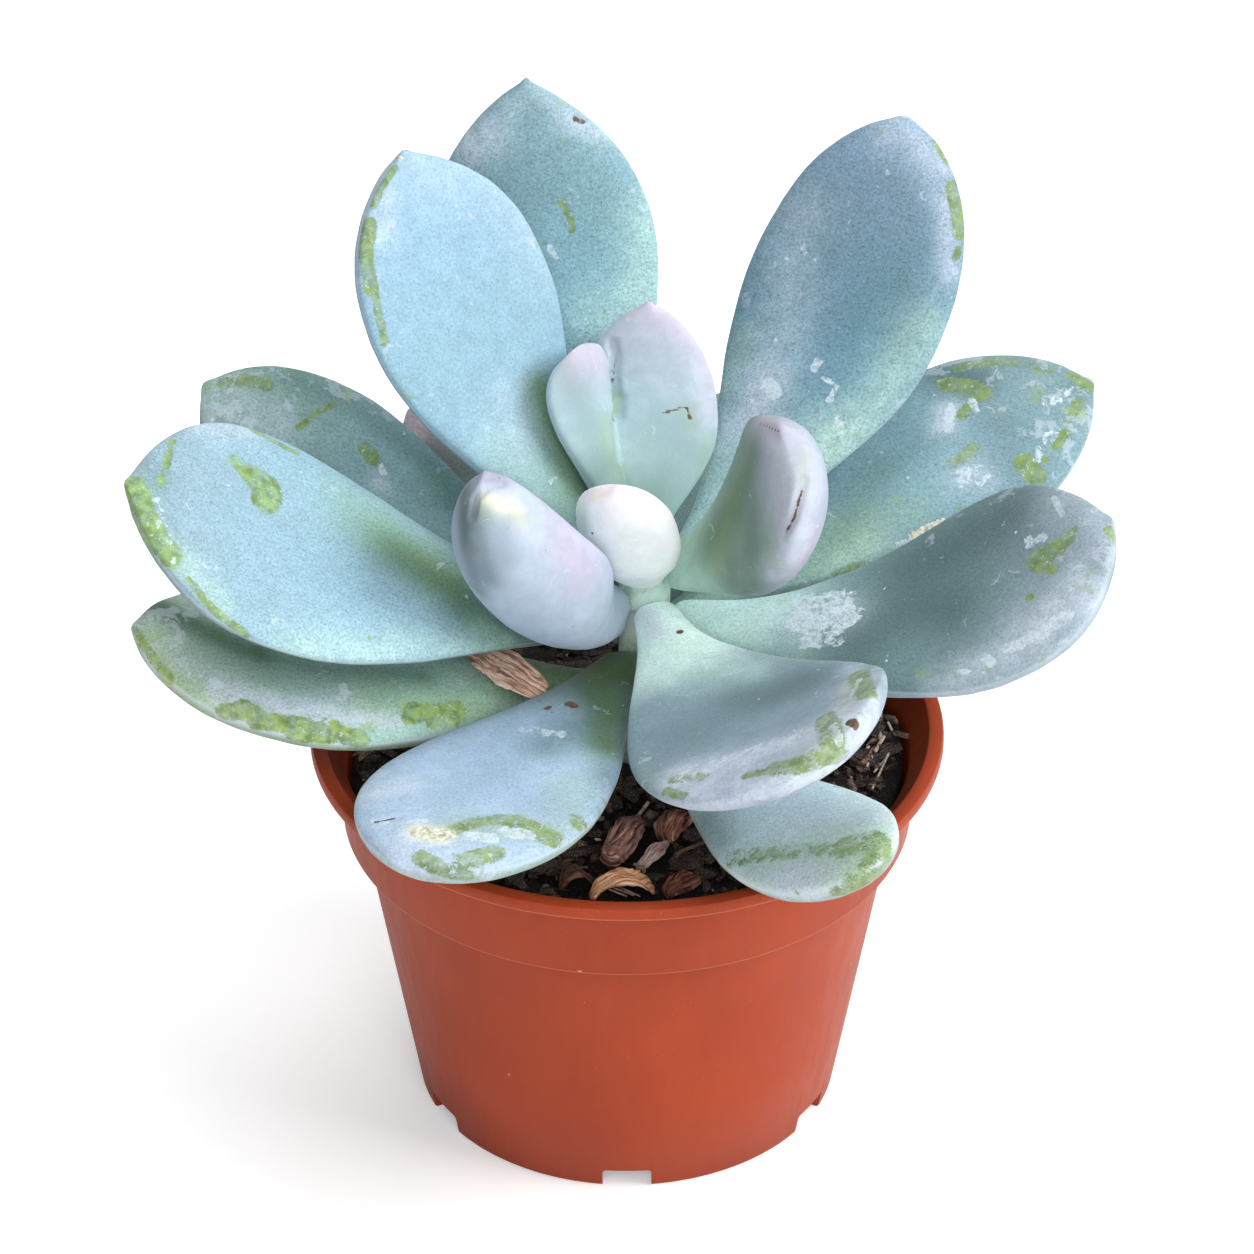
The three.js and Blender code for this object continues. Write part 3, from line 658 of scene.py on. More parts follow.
# %% Colours of the leaves
# Some root colours are painted light and shade. The near-white root and underside of leaf_bud and the
# near-white root of leaf_front are painted light on bases in the rosette's shade. The dark green roots of
# leaf_left_large and leaf_front_left are painted shade where inner leaves shade them.
LEAF_LOOKS = {
    "leaf_bud": dict(root="#f0fcf8", middle="#f4f2f2", tip="#f0e2e8", under="#f4fcfa",
                     speckle=0.12, rim=0.0, wear=0.0, glow=0.7),
    "leaf_bud_small": dict(root="#b0c4bc", middle="#cfd8de", tip="#d9e0e8", under="#a9b8bc",
                           speckle=0.2, rim=0.0, wear=0.0),
    "leaf_inner_right": dict(root="#a8c8b6", middle="#7c9488", tip="#b4bac8", under="#b0bacb",
                             speckle=0.2, rim=0.1, wear=0.0),
    "leaf_inner_left": dict(root="#ccdcec", middle="#b7bed4", tip="#adb6ca", under="#b4c2d4",
                            speckle=0.12, rim=0.0, wear=0.0),
    "leaf_inner_forked": dict(root="#88ac9e", middle="#a9c4cc", tip="#b5c0cc", under="#a9b4c0",
                              speckle=0.12, rim=0.3, wear=0.0),
    "leaf_front": dict(root="#e2fcf4", middle="#7c96a2", tip="#8fa2b6", under="#8fa2b6",
                       speckle=0.7, rim=0.0, wear=0.7),
    "leaf_back_left": dict(root="#6f9590", middle="#8bb0c2", tip="#92b6ce", under="#7494a0",
                           speckle=0.8, rim=0.3, wear=0.5),
    "leaf_back_right": dict(root="#b8dadc", middle="#6890a2", tip="#7f9bb2", under="#86a4aa",
                            speckle=1.3, rim=0.35, wear=0.4),
    "leaf_right_front": dict(root="#cae8e6", middle="#6a878a", tip="#8b9faa", under="#8aa2b2",
                             speckle=0.9, rim=0.2, wear=0.8),
    "leaf_left_large": dict(root="#547060", middle="#8eb2c4", tip="#8ca9b8", under="#708e90",
                            flesh="#8eb264", speckle=1.2, rim=0.3, wear=0.3),
    "leaf_back_tall": dict(root="#a0c8d8", middle="#85b0c0", tip="#86a9b6", under="#7090a0",
                           speckle=1.3, rim=0.35, wear=0.5),
    "leaf_front_left": dict(root="#4c6648", middle="#a8c4de", tip="#a8c0d8", under="#90aca4",
                            speckle=0.8, rim=0.25, wear=0.7),
    "leaf_right_behind": dict(root="#8eb0a2", middle="#80a4b2", tip="#78979f", under="#7c988c",
                              speckle=1.1, rim=0.2, wear=1.2),
    "leaf_left_behind": dict(root="#6f9080", middle="#84a8ae", tip="#7c9e98", under="#789890",
                             speckle=1.1, rim=0.25, wear=0.9),
    "leaf_back_low_left": dict(root="#6c8c84", middle="#7c9c9c", tip="#a8a09c", under="#78948a"),
    "leaf_back_low": dict(root="#7c9894", middle="#84a4a4", tip="#88a8a4", under="#78948a"),
    "leaf_right_low": dict(root="#7c9894", middle="#84a4a4", tip="#88a8a4", under="#78948a"),
    "leaf_left_low": dict(root="#769472", middle="#a2c8c2", tip="#a6beae", under="#7c9878",
                          flesh="#9cb848", speckle=1.1, rim=0.35, wear=0.9),
    "leaf_front_low": dict(root="#a4c0bc", middle="#d2eaf2", tip="#bcd2cc", under="#8aa49a",
                           speckle=1.0, rim=0.3, wear=0.9),
}
print(len(LEAF_LOOKS), "leaves have their colours")

# %% [markdown]
# The strokes come next, leaf by leaf. Each has its kind, its strength, its radius in pixels and its
# points in the picture. The kinds with a border are named by what they do: rub bares the green, flake
# and scab are raised, scar is brown and sunk, and crease is a groove in the flesh. The washes fade out
# softly: thin lets the green through, thick adds powder and on one leaf a painted highlight, blush and
# plum tint, mint tints pale and is partly painted light, the cream wash tints scabs and paints a few
# highlights, and the grey and the green dark washes are painted shade where leaves shade each other.
# Random spots alone would be quicker, but then no mark would be where the plant has it.

# %% Strokes on the outer leaves
STROKES_BACK = {
    "leaf_back_left": [
        ("rub", 1, 4, [(395, 168), (381, 188), (374, 206)]),
        ("rub", 1, 8, [(370, 225), (366, 246), (367, 268), (372, 290)]),
        ("rub", 0.9, 5, [(375, 296), (379, 318), (385, 342)]),
        ("thick", 0.4, 14, [(384, 200), (378, 216), (382, 234)]),
        ("thick", 0.2, 30, [(416, 168), (478, 176), (520, 220), (547, 266)]),
        ("scab", 0.9, 3, [(396, 158), (400, 158)]), ("scar", 0.8, 2, [(392, 160)]),
        ("thin", 0.7, 20, [(538, 392), (542, 418), (558, 453), (573, 485)]),
        ("painted_green_shade", 0.85, 13, [(540, 385), (548, 414), (562, 442), (576, 468), (588, 492)]),
        ("thick", 0.25, 22, [(505, 400), (525, 440)]), ("mint", 0.4, 30, [(500, 455), (550, 500)]),
        ("flake", 0.7, 3, [(551, 482), (557, 479)]),
    ],
    "leaf_back_tall": [
        ("rub", 0.95, 4, [(561, 203), (570, 216), (572, 232)]),
        ("flake", 0.7, 4, [(550, 248), (555, 257)]), ("thick", 0.6, 18, [(488, 136), (469, 152)]),
        ("thick", 0.4, 10, [(565, 122), (604, 136)]),
        ("thick", 0.2, 12, [(500, 110), (536, 92), (580, 118)]), ("painted_shade", 0.25, 18, [(535, 112)]),
        ("scab", 0.8, 3, [(535, 82), (537, 80)]), ("scar", 0.55, 4, [(575, 119), (583, 122)]),
        ("mint", 0.6, 26, [(645, 221), (648, 267), (638, 301)]),
        ("painted_shade", 0.35, 34, [(528, 180), (592, 207), (588, 244)]),
        ("mint", 0.5, 30, [(600, 325), (640, 330)]),
    ],
    "leaf_back_right": [
        ("rub", 1, 4, [(935, 142), (947, 162)]), ("rub", 1, 9, [(953, 188), (958, 210), (960, 232)]),
        ("rub", 0.9, 5, [(958, 250), (955, 258)]),
        ("thick", 0.4, 20, [(894, 132), (920, 145), (935, 167)]),
        ("thick", 0.5, 10, [(944, 201), (948, 236), (948, 275)]),
        ("thick", 0.35, 30, [(800, 214), (788, 275), (780, 340), (762, 400)]),
        ("painted_shade", 0.32, 30, [(850, 200), (858, 245), (862, 284), (850, 315)]),
        ("painted_shade", 0.45, 28, [(900, 190), (916, 240), (905, 290)]),
        ("thick", 0.5, 20, [(765, 380), (755, 420), (720, 430)]),
        ("mint", 0.5, 16, [(745, 340), (730, 380)]),
        ("mint", 0.6, 26, [(925, 330), (905, 362), (888, 390), (870, 420)]),
        ("mint", 0.9, 26, [(840, 435), (800, 470)]), ("mint", 0.9, 16, [(712, 450), (700, 480)]),
        ("flake", 1, 8, [(768, 386), (774, 392)]), ("flake", 0.8, 5, [(814, 368), (818, 362)]),
        ("flake", 0.7, 4, [(825, 379), (836, 386), (829, 401)]), ("flake", 0.8, 3, [(807, 391)]),
        ("flake", 0.8, 3, [(749, 401), (753, 400)]), ("flake", 0.9, 3, [(804, 248), (805, 253)]),
        ("flake", 0.9, 3, [(887, 173)]), ("flake", 0.9, 4, [(837, 418), (839, 425)]),
        ("scar", 0.5, 3, [(923, 126)]), ("painted_shade", 0.35, 22, [(900, 340)]),
        ("painted_shade", 0.4, 14, [(742, 350)]),
    ],
    "leaf_back_low_left": [
        ("blush", 0.7, 10, [(411, 415), (424, 434)]), ("painted_shade", 0.8, 14, [(432, 450), (450, 468)]),
    ],
}
STROKES_SIDES = {
    "leaf_left_behind": [
        ("rub", 0.7, 9, [(225, 384), (246, 380), (267, 384)]),
        ("thick", 0.35, 22, [(220, 394), (246, 408), (277, 423)]),
        ("rub", 0.85, 4, [(298, 428), (316, 413), (335, 404)]),
        ("rub", 0.85, 9, [(366, 447), (374, 460)]), ("rub", 0.8, 4, [(387, 465)]),
        ("flake", 0.6, 5, [(380, 465), (383, 473)]), ("thick", 0.5, 10, [(382, 483)]),
        ("painted_shade", 0.5, 13, [(293, 379), (345, 400), (384, 430), (424, 462)]),
        ("painted_shade", 0.2, 22, [(330, 465), (400, 505)]), ("painted_green_shade", 0.6, 14, [(440, 478), (456, 500)]),
        ("flake", 0.4, 5, [(214, 397), (250, 412)]), ("scar", 0.6, 2, [(397, 428)]),
    ],
    "leaf_left_large": [
        ("rub", 0.95, 9, [(236, 462), (248, 474)]), ("rub", 1, 17, [(254, 478), (268, 488), (264, 500)]),
        ("rub", 0.95, 4, [(252, 430), (273, 441), (296, 453)]),
        ("rub", 1, 15, [(133, 488), (141, 510), (152, 530)]), ("rub", 0.9, 13, [(158, 540), (172, 556)]),
        ("thin", 0.6, 16, [(132, 484), (142, 520), (164, 552)]),
        ("rub", 0.8, 5, [(188, 580), (215, 611), (246, 635)]), ("rub", 0.7, 5, [(160, 486), (173, 440)]),
        ("painted_shade", 0.45, 18, [(150, 468), (156, 480)]), ("thick", 0.4, 16, [(201, 426), (241, 428)]),
        ("flake", 0.4, 10, [(152, 496), (165, 533), (178, 558)]), ("scar", 1, 3, [(162, 438)]),
        ("thin", 0.55, 40, [(358, 512), (398, 533), (437, 567)]),
        ("painted_green_shade", 0.8, 30, [(385, 545), (420, 566), (452, 588)]),
        ("painted_shade", 1, 24, [(405, 556), (430, 572), (462, 600)]),
        ("thin", 0.5, 16, [(480, 620), (500, 640)]),
        ("mint", 0.55, 24, [(293, 651), (371, 656), (440, 652), (489, 645)]),
        ("mint", 0.5, 14, [(186, 564), (220, 603)]), ("rub", 0.8, 5, [(369, 638)]),
    ],
    "leaf_left_low": [
        ("rub", 1, 10, [(225, 713), (246, 708), (256, 713)]),
        ("rub", 1, 10, [(256, 721), (293, 724), (335, 729)]), ("rub", 1, 14, [(298, 731), (327, 731)]),
        ("rub", 1, 10, [(345, 735), (361, 739)]),
        ("thin", 0.6, 12, [(150, 640), (170, 680), (205, 706)]),
        ("rub", 0.85, 15, [(413, 713), (434, 716), (456, 712)]),
        ("rub", 0.7, 8, [(134, 632), (147, 653), (168, 679)]),
        ("thick", 0.8, 12, [(215, 687), (228, 700)]), ("thick", 0.3, 14, [(162, 648), (183, 666)]),
        # A painted highlight: the pale streak along this leaf's lower part is laid with the powder wash.
        ("thick", 0.95, 8, [(240, 692), (290, 708), (345, 717), (395, 720)]),
        ("flake", 1, 4, [(213, 681), (220, 685)]), ("flake", 1, 5, [(344, 687), (347, 692), (341, 698)]),
        ("flake", 1, 4, [(330, 707), (333, 711)]), ("flake", 0.9, 2, [(190, 674)]),
        ("flake", 0.8, 3, [(341, 735)]),
        ("painted_shade", 1, 14, [(138, 594), (184, 622), (240, 650), (330, 670), (420, 676)]),
        ("painted_shade", 0.5, 22, [(200, 650), (280, 676), (380, 690)]),
        ("flake", 0.55, 4, [(268, 706), (300, 716), (330, 722)]),
        ("painted_green_shade", 0.9, 14, [(160, 608), (200, 626), (260, 652)]),
        ("thick", 0.45, 22, [(225, 700), (255, 718), (345, 704)]),
        ("thin", 0.5, 24, [(371, 698), (437, 705), (470, 710)]),
    ],
    "leaf_right_behind": [
        ("rub", 0.9, 12, [(945, 384), (966, 387), (983, 394)]),
        ("rub", 0.9, 8, [(1071, 375), (1089, 387)]), ("rub", 1, 12, [(1024, 463), (1036, 475)]),
        ("rub", 0.95, 6, [(1057, 446), (1065, 434)]), ("rub", 0.9, 5, [(1045, 460)]),
        ("rub", 0.7, 7, [(1068, 419), (1080, 402)]),
        ("rub", 0.66, 10, [(963, 366), (1013, 362), (1048, 369)]),
        ("rub", 0.66, 10, [(954, 463), (972, 449)]), ("rub", 0.85, 7, [(969, 407), (961, 416)]),
        ("thick", 0.8, 12, [(948, 410), (945, 425)]), ("flake", 0.85, 6, [(951, 407), (948, 428)]),
        ("flake", 0.7, 5, [(972, 400), (975, 410)]), ("thick", 0.4, 20, [(965, 472), (980, 480)]),
        ("flake", 0.5, 15, [(960, 478), (985, 474)]), ("painted_shade", 1, 22, [(945, 375), (975, 380)]),
        ("painted_shade", 0.4, 18, [(1080, 390)]), ("painted_shade", 0.4, 26, [(1000, 430), (1015, 465)]),
        ("flake", 0.4, 12, [(1042, 399), (1065, 393)]), ("flake", 0.5, 8, [(1036, 457), (1054, 431)]),
        ("rub", 0.9, 3, [(895, 500)]), ("scab", 0.6, 7, [(913, 536), (942, 522)]),
        ("flake", 0.8, 4, [(930, 526), (938, 525)]), ("flake", 0.6, 5, [(907, 542), (895, 548)]),
        ("rub", 0.7, 7, [(837, 575), (863, 564)]), ("flake", 0.8, 3, [(807, 583)]),
        ("thin", 0.5, 28, [(854, 540), (913, 516)]), ("mint", 0.8, 24, [(822, 575), (866, 555)]),
        ("painted_shade", 0.35, 28, [(907, 448), (880, 492), (848, 528)]),
        ("painted_green_shade", 0.4, 20, [(880, 470), (850, 510), (810, 560)]),
    ],
    "leaf_right_front": [
        ("flake", 0.58, 15, [(800, 602), (844, 598)]), ("flake", 0.62, 16, [(796, 622), (850, 616)]),
        ("flake", 0.56, 12, [(806, 640), (836, 638)]), ("thick", 0.35, 22, [(800, 620), (845, 612)]),
        ("painted_shade", 0.85, 42, [(913, 568), (954, 550), (983, 532), (1010, 516)]),
        ("painted_shade", 0.8, 34, [(872, 630), (913, 608), (950, 610)]), ("painted_shade", 0.5, 22, [(850, 655)]),
        ("painted_shade", 0.3, 24, [(785, 645), (815, 650)]),
        ("mint", 0.85, 24, [(700, 615), (725, 636), (745, 648)]),
        ("mint", 0.5, 20, [(780, 604), (755, 613)]), ("rub", 0.85, 12, [(1039, 557), (1060, 548)]),
        ("rub", 0.75, 8, [(1030, 566), (1054, 569)]), ("rub", 0.75, 7, [(1070, 540), (1073, 530)]),
        ("rub", 0.85, 6, [(1030, 598)]), ("rub", 0.9, 6, [(1109, 531), (1120, 545), (1123, 563)]),
        ("thick", 0.3, 22, [(1057, 504), (1080, 516), (1098, 539)]),
        ("thick", 0.7, 24, [(1080, 590), (1060, 605), (1036, 632)]),
        ("painted_shade", 0.6, 18, [(1108, 556), (1112, 572)]),
        ("thick", 0.5, 20, [(1013, 648), (972, 671), (942, 692)]),
        ("flake", 0.9, 4, [(1054, 498), (1062, 514)]), ("flake", 0.7, 8, [(1030, 542), (1042, 539)]),
        ("flake", 1, 5, [(986, 658), (991, 663)]), ("flake", 0.9, 3, [(960, 671), (969, 672)]),
        ("flake", 0.6, 8, [(1007, 648), (1042, 633), (1068, 613)]), ("flake", 0.7, 3, [(885, 588)]),
        ("scab", 0.9, 3, [(1126, 560)]), ("flake", 0.8, 3, [(700, 597), (705, 604), (705, 616)]),
    ],
}
STROKES_FRONT = {
    "leaf_front_left": [
        ("scab", 0.7, 12, [(420, 832), (434, 836), (446, 834)]),
        ("cream_and_highlight", 1, 12, [(418, 832), (440, 835)]), ("flake", 0.8, 5, [(412, 822), (424, 820)]),
        ("flake", 0.8, 4, [(428, 845), (448, 842)]),
        ("rub", 0.72, 11, [(456, 828), (480, 820), (506, 820)]),
        ("rub", 0.74, 14, [(518, 822), (552, 838)]),
        ("rub", 0.8, 10, [(420, 858), (447, 872), (466, 876)]),
        ("thin", 0.8, 18, [(455, 826), (550, 832)]), ("rub", 0.8, 12, [(463, 861), (495, 853)]),
        ("rub", 0.6, 10, [(575, 818), (584, 830)]), ("flake", 0.7, 8, [(470, 836), (490, 838)]),
        ("flake", 0.62, 10, [(505, 832), (528, 835)]), ("flake", 0.65, 5, [(383, 820), (388, 823)]),
        ("crease", 0.25, 4, [(377, 820), (399, 816)]), ("scar", 0.8, 2, [(375, 821), (395, 817)]),
        ("flake", 0.8, 3, [(490, 855)]), ("scar", 1, 3, [(561, 679)]), ("scar", 1, 2, [(539, 702)]),
        ("scar", 1, 4, [(548, 708)]), ("scar", 1, 5, [(569, 704), (574, 706)]),
        ("scar", 0.9, 2, [(553, 712)]), ("flake", 0.55, 9, [(525, 729), (562, 734)]),
        ("thin", 0.5, 20, [(606, 668), (614, 716), (606, 753)]),
        ("painted_shade", 0.85, 20, [(599, 661), (616, 701), (616, 742)]),
        ("thin", 0.5, 22, [(569, 783), (577, 820)]), ("thick", 0.6, 16, [(370, 794), (407, 783)]),
        ("thick", 0.5, 18, [(395, 857), (407, 872), (480, 875)]),
        ("painted_shade", 0.3, 26, [(495, 775), (451, 798)]),
        ("painted_green_shade", 0.9, 20, [(596, 680), (604, 710), (602, 745)]), ("painted_green_shade", 0.5, 20, [(604, 775)]),
        ("painted_shade", 1, 22, [(600, 690), (603, 735)]), ("painted_shade", 0.9, 26, [(548, 745), (570, 728)]),
        ("painted_shade", 0.8, 16, [(520, 700), (535, 696)]), ("painted_shade", 0.35, 26, [(545, 805)]),
    ],
    "leaf_front": [
        ("mint", 0.5, 22, [(660, 646), (684, 661)]), ("mint", 0.5, 22, [(710, 668), (747, 675)]),
        ("scar", 1, 4, [(680, 632)]), ("painted_shade", 0.4, 38, [(655, 712), (680, 740)]),
        ("painted_shade", 0.25, 30, [(700, 730)]), ("painted_shade", 0.7, 30, [(740, 698), (775, 694), (804, 684)]),
        ("thick", 0.95, 14, [(645, 612), (655, 632)]),
        ("thick", 0.8, 26, [(690, 780), (740, 762), (790, 742), (835, 722)]),
        ("thick", 0.9, 20, [(800, 782), (835, 765), (862, 735)]),
        ("thin", 0.35, 16, [(640, 780), (648, 792)]),
        ("flake", 0.5, 20, [(690, 774), (740, 758), (790, 738)]),
        ("flake", 0.6, 18, [(800, 784), (835, 770)]),
        ("thick", 0.75, 20, [(680, 775), (710, 768), (747, 761)]),
        ("thick", 0.85, 22, [(695, 794), (747, 786), (784, 779)]),
        ("rub", 0.8, 14, [(825, 718), (832, 738), (836, 757)]),
        ("thin", 0.5, 16, [(790, 764), (838, 752)]),
        ("rub", 0.8, 12, [(772, 768), (820, 760), (842, 758)]),
        ("rub", 0.75, 9, [(673, 779), (703, 777)]), ("rub", 0.8, 6, [(666, 790), (684, 796)]),
        ("rub", 0.9, 13, [(858, 674), (866, 694)]), ("rub", 0.8, 7, [(747, 775), (775, 770)]),
        ("cream_and_highlight", 0.35, 20, [(820, 750), (860, 684)]), ("flake", 0.7, 6, [(832, 726), (840, 742)]),
        ("painted_shade", 0.5, 26, [(760, 700), (800, 682)]), ("flake", 0.8, 4, [(860, 679), (852, 694)]),
        ("scar", 1, 6, [(851, 722), (855, 724)]),
        ("thick", 0.6, 12, [(873, 694), (876, 724), (858, 753)]),
        ("thick", 0.5, 10, [(848, 668), (870, 680)]), ("cream_and_highlight", 0.3, 16, [(850, 684)]),
    ],
    "leaf_front_low": [
        ("rub", 0.7, 20, [(848, 846), (872, 842)]),
        ("rub", 0.75, 17, [(882, 852), (870, 876), (846, 892)]),
        ("thin", 0.8, 22, [(872, 850), (856, 876)]), ("thin", 0.3, 20, [(820, 884)]),
        ("rub", 0.58, 13, [(730, 858), (780, 852), (820, 850)]),
        ("thin", 0.6, 24, [(754, 857), (802, 849), (851, 857)]),
        ("thick", 0.9, 20, [(784, 879), (821, 875)]), ("rub", 0.9, 4, [(797, 893)]),
        ("thick", 0.4, 22, [(802, 820), (851, 812)]), ("scar", 0.5, 2, [(891, 846), (892, 857)]),
        ("painted_shade", 0.75, 20, [(704, 822), (722, 842)]), ("thick", 0.45, 20, [(795, 885), (825, 888)]),
        ("thin", 0.7, 12, [(884, 850), (878, 870)]), ("painted_shade", 0.3, 24, [(860, 818)]),
    ],
}
print(sum(len(v) for table in (STROKES_BACK, STROKES_SIDES, STROKES_FRONT) for v in table.values()),
      "strokes on the outer leaves")

# %% Strokes on the inner leaves
STROKES_INNER = {
    "leaf_inner_forked": [
        ("crease", 0.7, 5, [(612, 343), (615, 356), (614, 377), (616, 397)]),
        ("crease", 0.5, 8, [(616, 397), (616, 427), (619, 456)]),
        ("scar", 0.5, 2, [(616, 353), (613, 371), (614, 386)]),
        ("thin", 0.9, 6, [(616, 397), (613, 427), (617, 456), (623, 479)]),
        ("thin", 0.55, 12, [(605, 421), (611, 456), (620, 474)]),
        ("scar", 0.55, 3, [(664, 413), (676, 409), (686, 408), (690, 418)]),
        ("thin", 0.5, 9, [(689, 412), (693, 424)]), ("flake", 1, 2, [(628, 319)]),
        ("blush", 0.6, 22, [(576, 356), (600, 359)]),
        ("blush", 0.55, 16, [(641, 306), (676, 318), (699, 345), (712, 377), (714, 403)]),
        ("mint", 0.3, 20, [(588, 444), (641, 462), (664, 485)]),
        ("thick", 0.5, 14, [(690, 368), (708, 400), (706, 424)]),
        ("thin", 0.4, 12, [(711, 444), (699, 479), (682, 515)]),
        ("painted_shade", 0.45, 26, [(665, 480), (688, 446)]),
        ("painted_shade", 0.5, 18, [(566, 370), (582, 404), (592, 436), (604, 464)]),
        ("thick", 0.2, 20, [(655, 380)]), ("painted_shade", 0.25, 24, [(650, 430)]),
    ],
    "leaf_inner_left": [
        # The small flake here is a painted highlight.
        ("flake", 0.6, 4, [(496, 499)]), ("thin", 0.4, 8, [(484, 497), (486, 515)]),
        ("thin", 0.4, 7, [(514, 515), (532, 520)]),
        ("plum", 0.9, 11, [(470, 474), (486, 472), (500, 478)]), ("scar", 0.9, 2, [(477, 470)]),
        ("crease", 0.5, 5, [(502, 482), (488, 485), (475, 497), (472, 515)]),
        ("blush", 0.5, 26, [(564, 544), (582, 573)]),
        ("painted_shade", 1, 13, [(464, 492), (464, 520), (468, 556), (478, 590)]),
        ("painted_green_shade", 0.45, 13, [(462, 496), (464, 540)]),
        ("painted_shade", 0.85, 12, [(478, 515), (482, 545), (490, 580)]),
        ("painted_shade", 0.5, 14, [(502, 524), (506, 560)]), ("thick", 0.5, 16, [(586, 620)]),
        # These cream strokes are a painted highlight patch by the fold.
        ("cream_and_highlight", 0.9, 8, [(489, 500), (498, 505)]), ("cream_and_highlight", 0.6, 10, [(510, 508), (520, 516)]),
    ],
    "leaf_inner_right": [
        ("blush", 0.5, 13, [(758, 421), (781, 427)]), ("scar", 0.6, 2, [(761, 424), (778, 431)]),
        ("scar", 0.55, 3, [(803, 491), (793, 518), (784, 532)]),
        ("crease", 0.5, 5, [(805, 479), (793, 518), (783, 535)]),
        ("thin", 0.5, 9, [(808, 456), (805, 479)]), ("thin", 0.45, 8, [(775, 544), (772, 562)]),
        ("painted_shade", 0.8, 22, [(752, 460), (737, 503), (711, 538)]),
        ("painted_shade", 0.4, 16, [(755, 510), (752, 545)]), ("plum", 0.25, 12, [(762, 424), (785, 430)]),
        ("thick", 0.9, 14, [(800, 540), (774, 574)]),
        ("thin", 0.6, 22, [(746, 468), (728, 515), (717, 556)]),
        ("mint", 0.7, 16, [(682, 573), (711, 585)]), ("blush", 0.6, 16, [(811, 544), (793, 579)]),
        ("flake", 0.6, 4, [(819, 456)]),
    ],
    "leaf_bud": [
        # The cream spot at the top of the bud is a painted highlight.
        ("blush", 0.4, 22, [(610, 508), (646, 515)]), ("cream_and_highlight", 0.8, 5, [(597, 495)]),
        ("blush", 0.4, 12, [(660, 545)]), ("scar", 0.9, 2, [(592, 533)]),
        ("thin", 0.5, 8, [(584, 512), (582, 528)]), ("painted_shade", 0.3, 10, [(584, 520)]),
        ("scar", 0.4, 2, [(651, 523)]),
    ],
}
LEAF_STROKES = {**STROKES_BACK, **STROKES_SIDES, **STROKES_FRONT, **STROKES_INNER}
print(sum(len(strokes) for strokes in STROKES_INNER.values()), "strokes on the inner leaves")

# %% [markdown]
# Now every leaf is made the same way, in one loop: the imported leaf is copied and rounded, soft noise
# makes its face slightly uneven, as living leaves are, its numbers are stored, and its strokes are cast
# on to it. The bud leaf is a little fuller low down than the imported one. Leaves that hardly show are
# rounded less, which saves faces.

# %% Make the leaves
BUD_SWELL_MM = 0.9
HIDDEN_LEAVES = ("leaf_bud_small", "leaf_back_low", "leaf_right_low", "leaf_back_low_left")
triangles = 0
for node, look in LEAF_LOOKS.items():
    leaf = copy_of_node(node, node + "_skin")
    round_off(leaf, 2 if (node in HIDDEN_LEAVES) else 3)
    swell = points_of(leaf.data)
    ripple = 0.16 * waves(swell, 9, len(node)) + 0.05 * waves(swell, 2.6, 3)
    move_points(leaf.data, swell + normals_of(leaf.data) * (ripple * MM)[:, None])
    if node == "leaf_bud":
        swell = points_of(leaf.data)
        height = (swell[:, 2] - swell[:, 2].min()) / np.ptp(swell[:, 2])
        fuller = BUD_SWELL_MM * np.clip(1 - np.abs(height - 0.3) / 0.3, 0, 1)
        move_points(leaf.data, swell + normals_of(leaf.data) * (fuller * MM)[:, None])
    leaf_map(leaf)
    mark_leaf(leaf, LEAF_STROKES.get(node, []))
    dress(leaf, leaf_finish(node, **look), "leaf", node)
    triangles += 2 * len(leaf.data.polygons)
print(len(LEAF_LOOKS), "leaves,", triangles, "triangles")

# %% [markdown]
# ## The pot
# A nursery pot is one sheet of plastic drawn over a mould, so it is one turned wall. It could be spun
# from a drawn profile, but that leaves a seam to merge. Here a circle is extruded and scaled ring by
# ring along the wall's outline: from the floor's underside round the foot, up the outside, over the
# lip, down the inside and in to the floor's middle. Then the first ring is closed to a point as well.
# The outline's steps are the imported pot's own, with more rings where an edge is rounded.

# %% Turn the pot's wall
POT_SEGMENTS = 192
POT_OUTLINE = [
    (26.9, 3.2), (26.9, 0.3), (27.2, 0.0), (28.4, 0.0), (28.72, 0.3), (31.2, 14.6), (33.6, 28.6),
    (35.95, 42.4), (36.0, 42.62), (37.9, 42.7), (38.18, 42.78), (38.32, 43.1), (39.2, 53.6),
    (39.26, 54.4), (42.1, 54.5), (42.4, 54.62), (42.5, 54.95), (42.5, 55.85), (42.32, 56.25),
    (41.95, 56.4), (40.75, 56.4), (40.48, 56.3), (40.4, 56.0), (38.2, 53.4), (37.2, 44.2),
    (36.95, 43.85), (34.9, 42.3), (34.7, 41.9), (28.5, 5.1), (28.0, 4.5),
]


def turned(name, outline, segments, centre):
    """A closed shape turned round a vertical line: (radius, height) in mm, from one end to the other."""
    bpy.ops.object.select_all(action="DESELECT")
    radius, height = outline[0]
    bpy.ops.mesh.primitive_circle_add(vertices=segments, radius=radius * MM, fill_type="NOTHING",
                                      location=(centre.x, centre.y, height * MM))
    piece = bpy.context.object
    piece.name = piece.data.name = name
    bpy.ops.object.transform_apply(location=True, rotation=True, scale=True)
    edit(piece)
    for wide, high in outline[1:] + [(0.0, outline[-1][1])]:
        lift = (high - height) * MM
        middle = (centre.x, centre.y, high * MM)
        bpy.ops.mesh.extrude_region_move(TRANSFORM_OT_translate={"value": (0, 0, lift)})
        if wide > 0:
            share = wide / radius
            bpy.ops.transform.resize(value=(share, share, 1), center_override=middle)
            radius, height = wide, high
        else:
            bpy.ops.mesh.merge(type="CENTER")
    bpy.ops.mesh.select_all(action="DESELECT")
    leave_edit()
    return piece


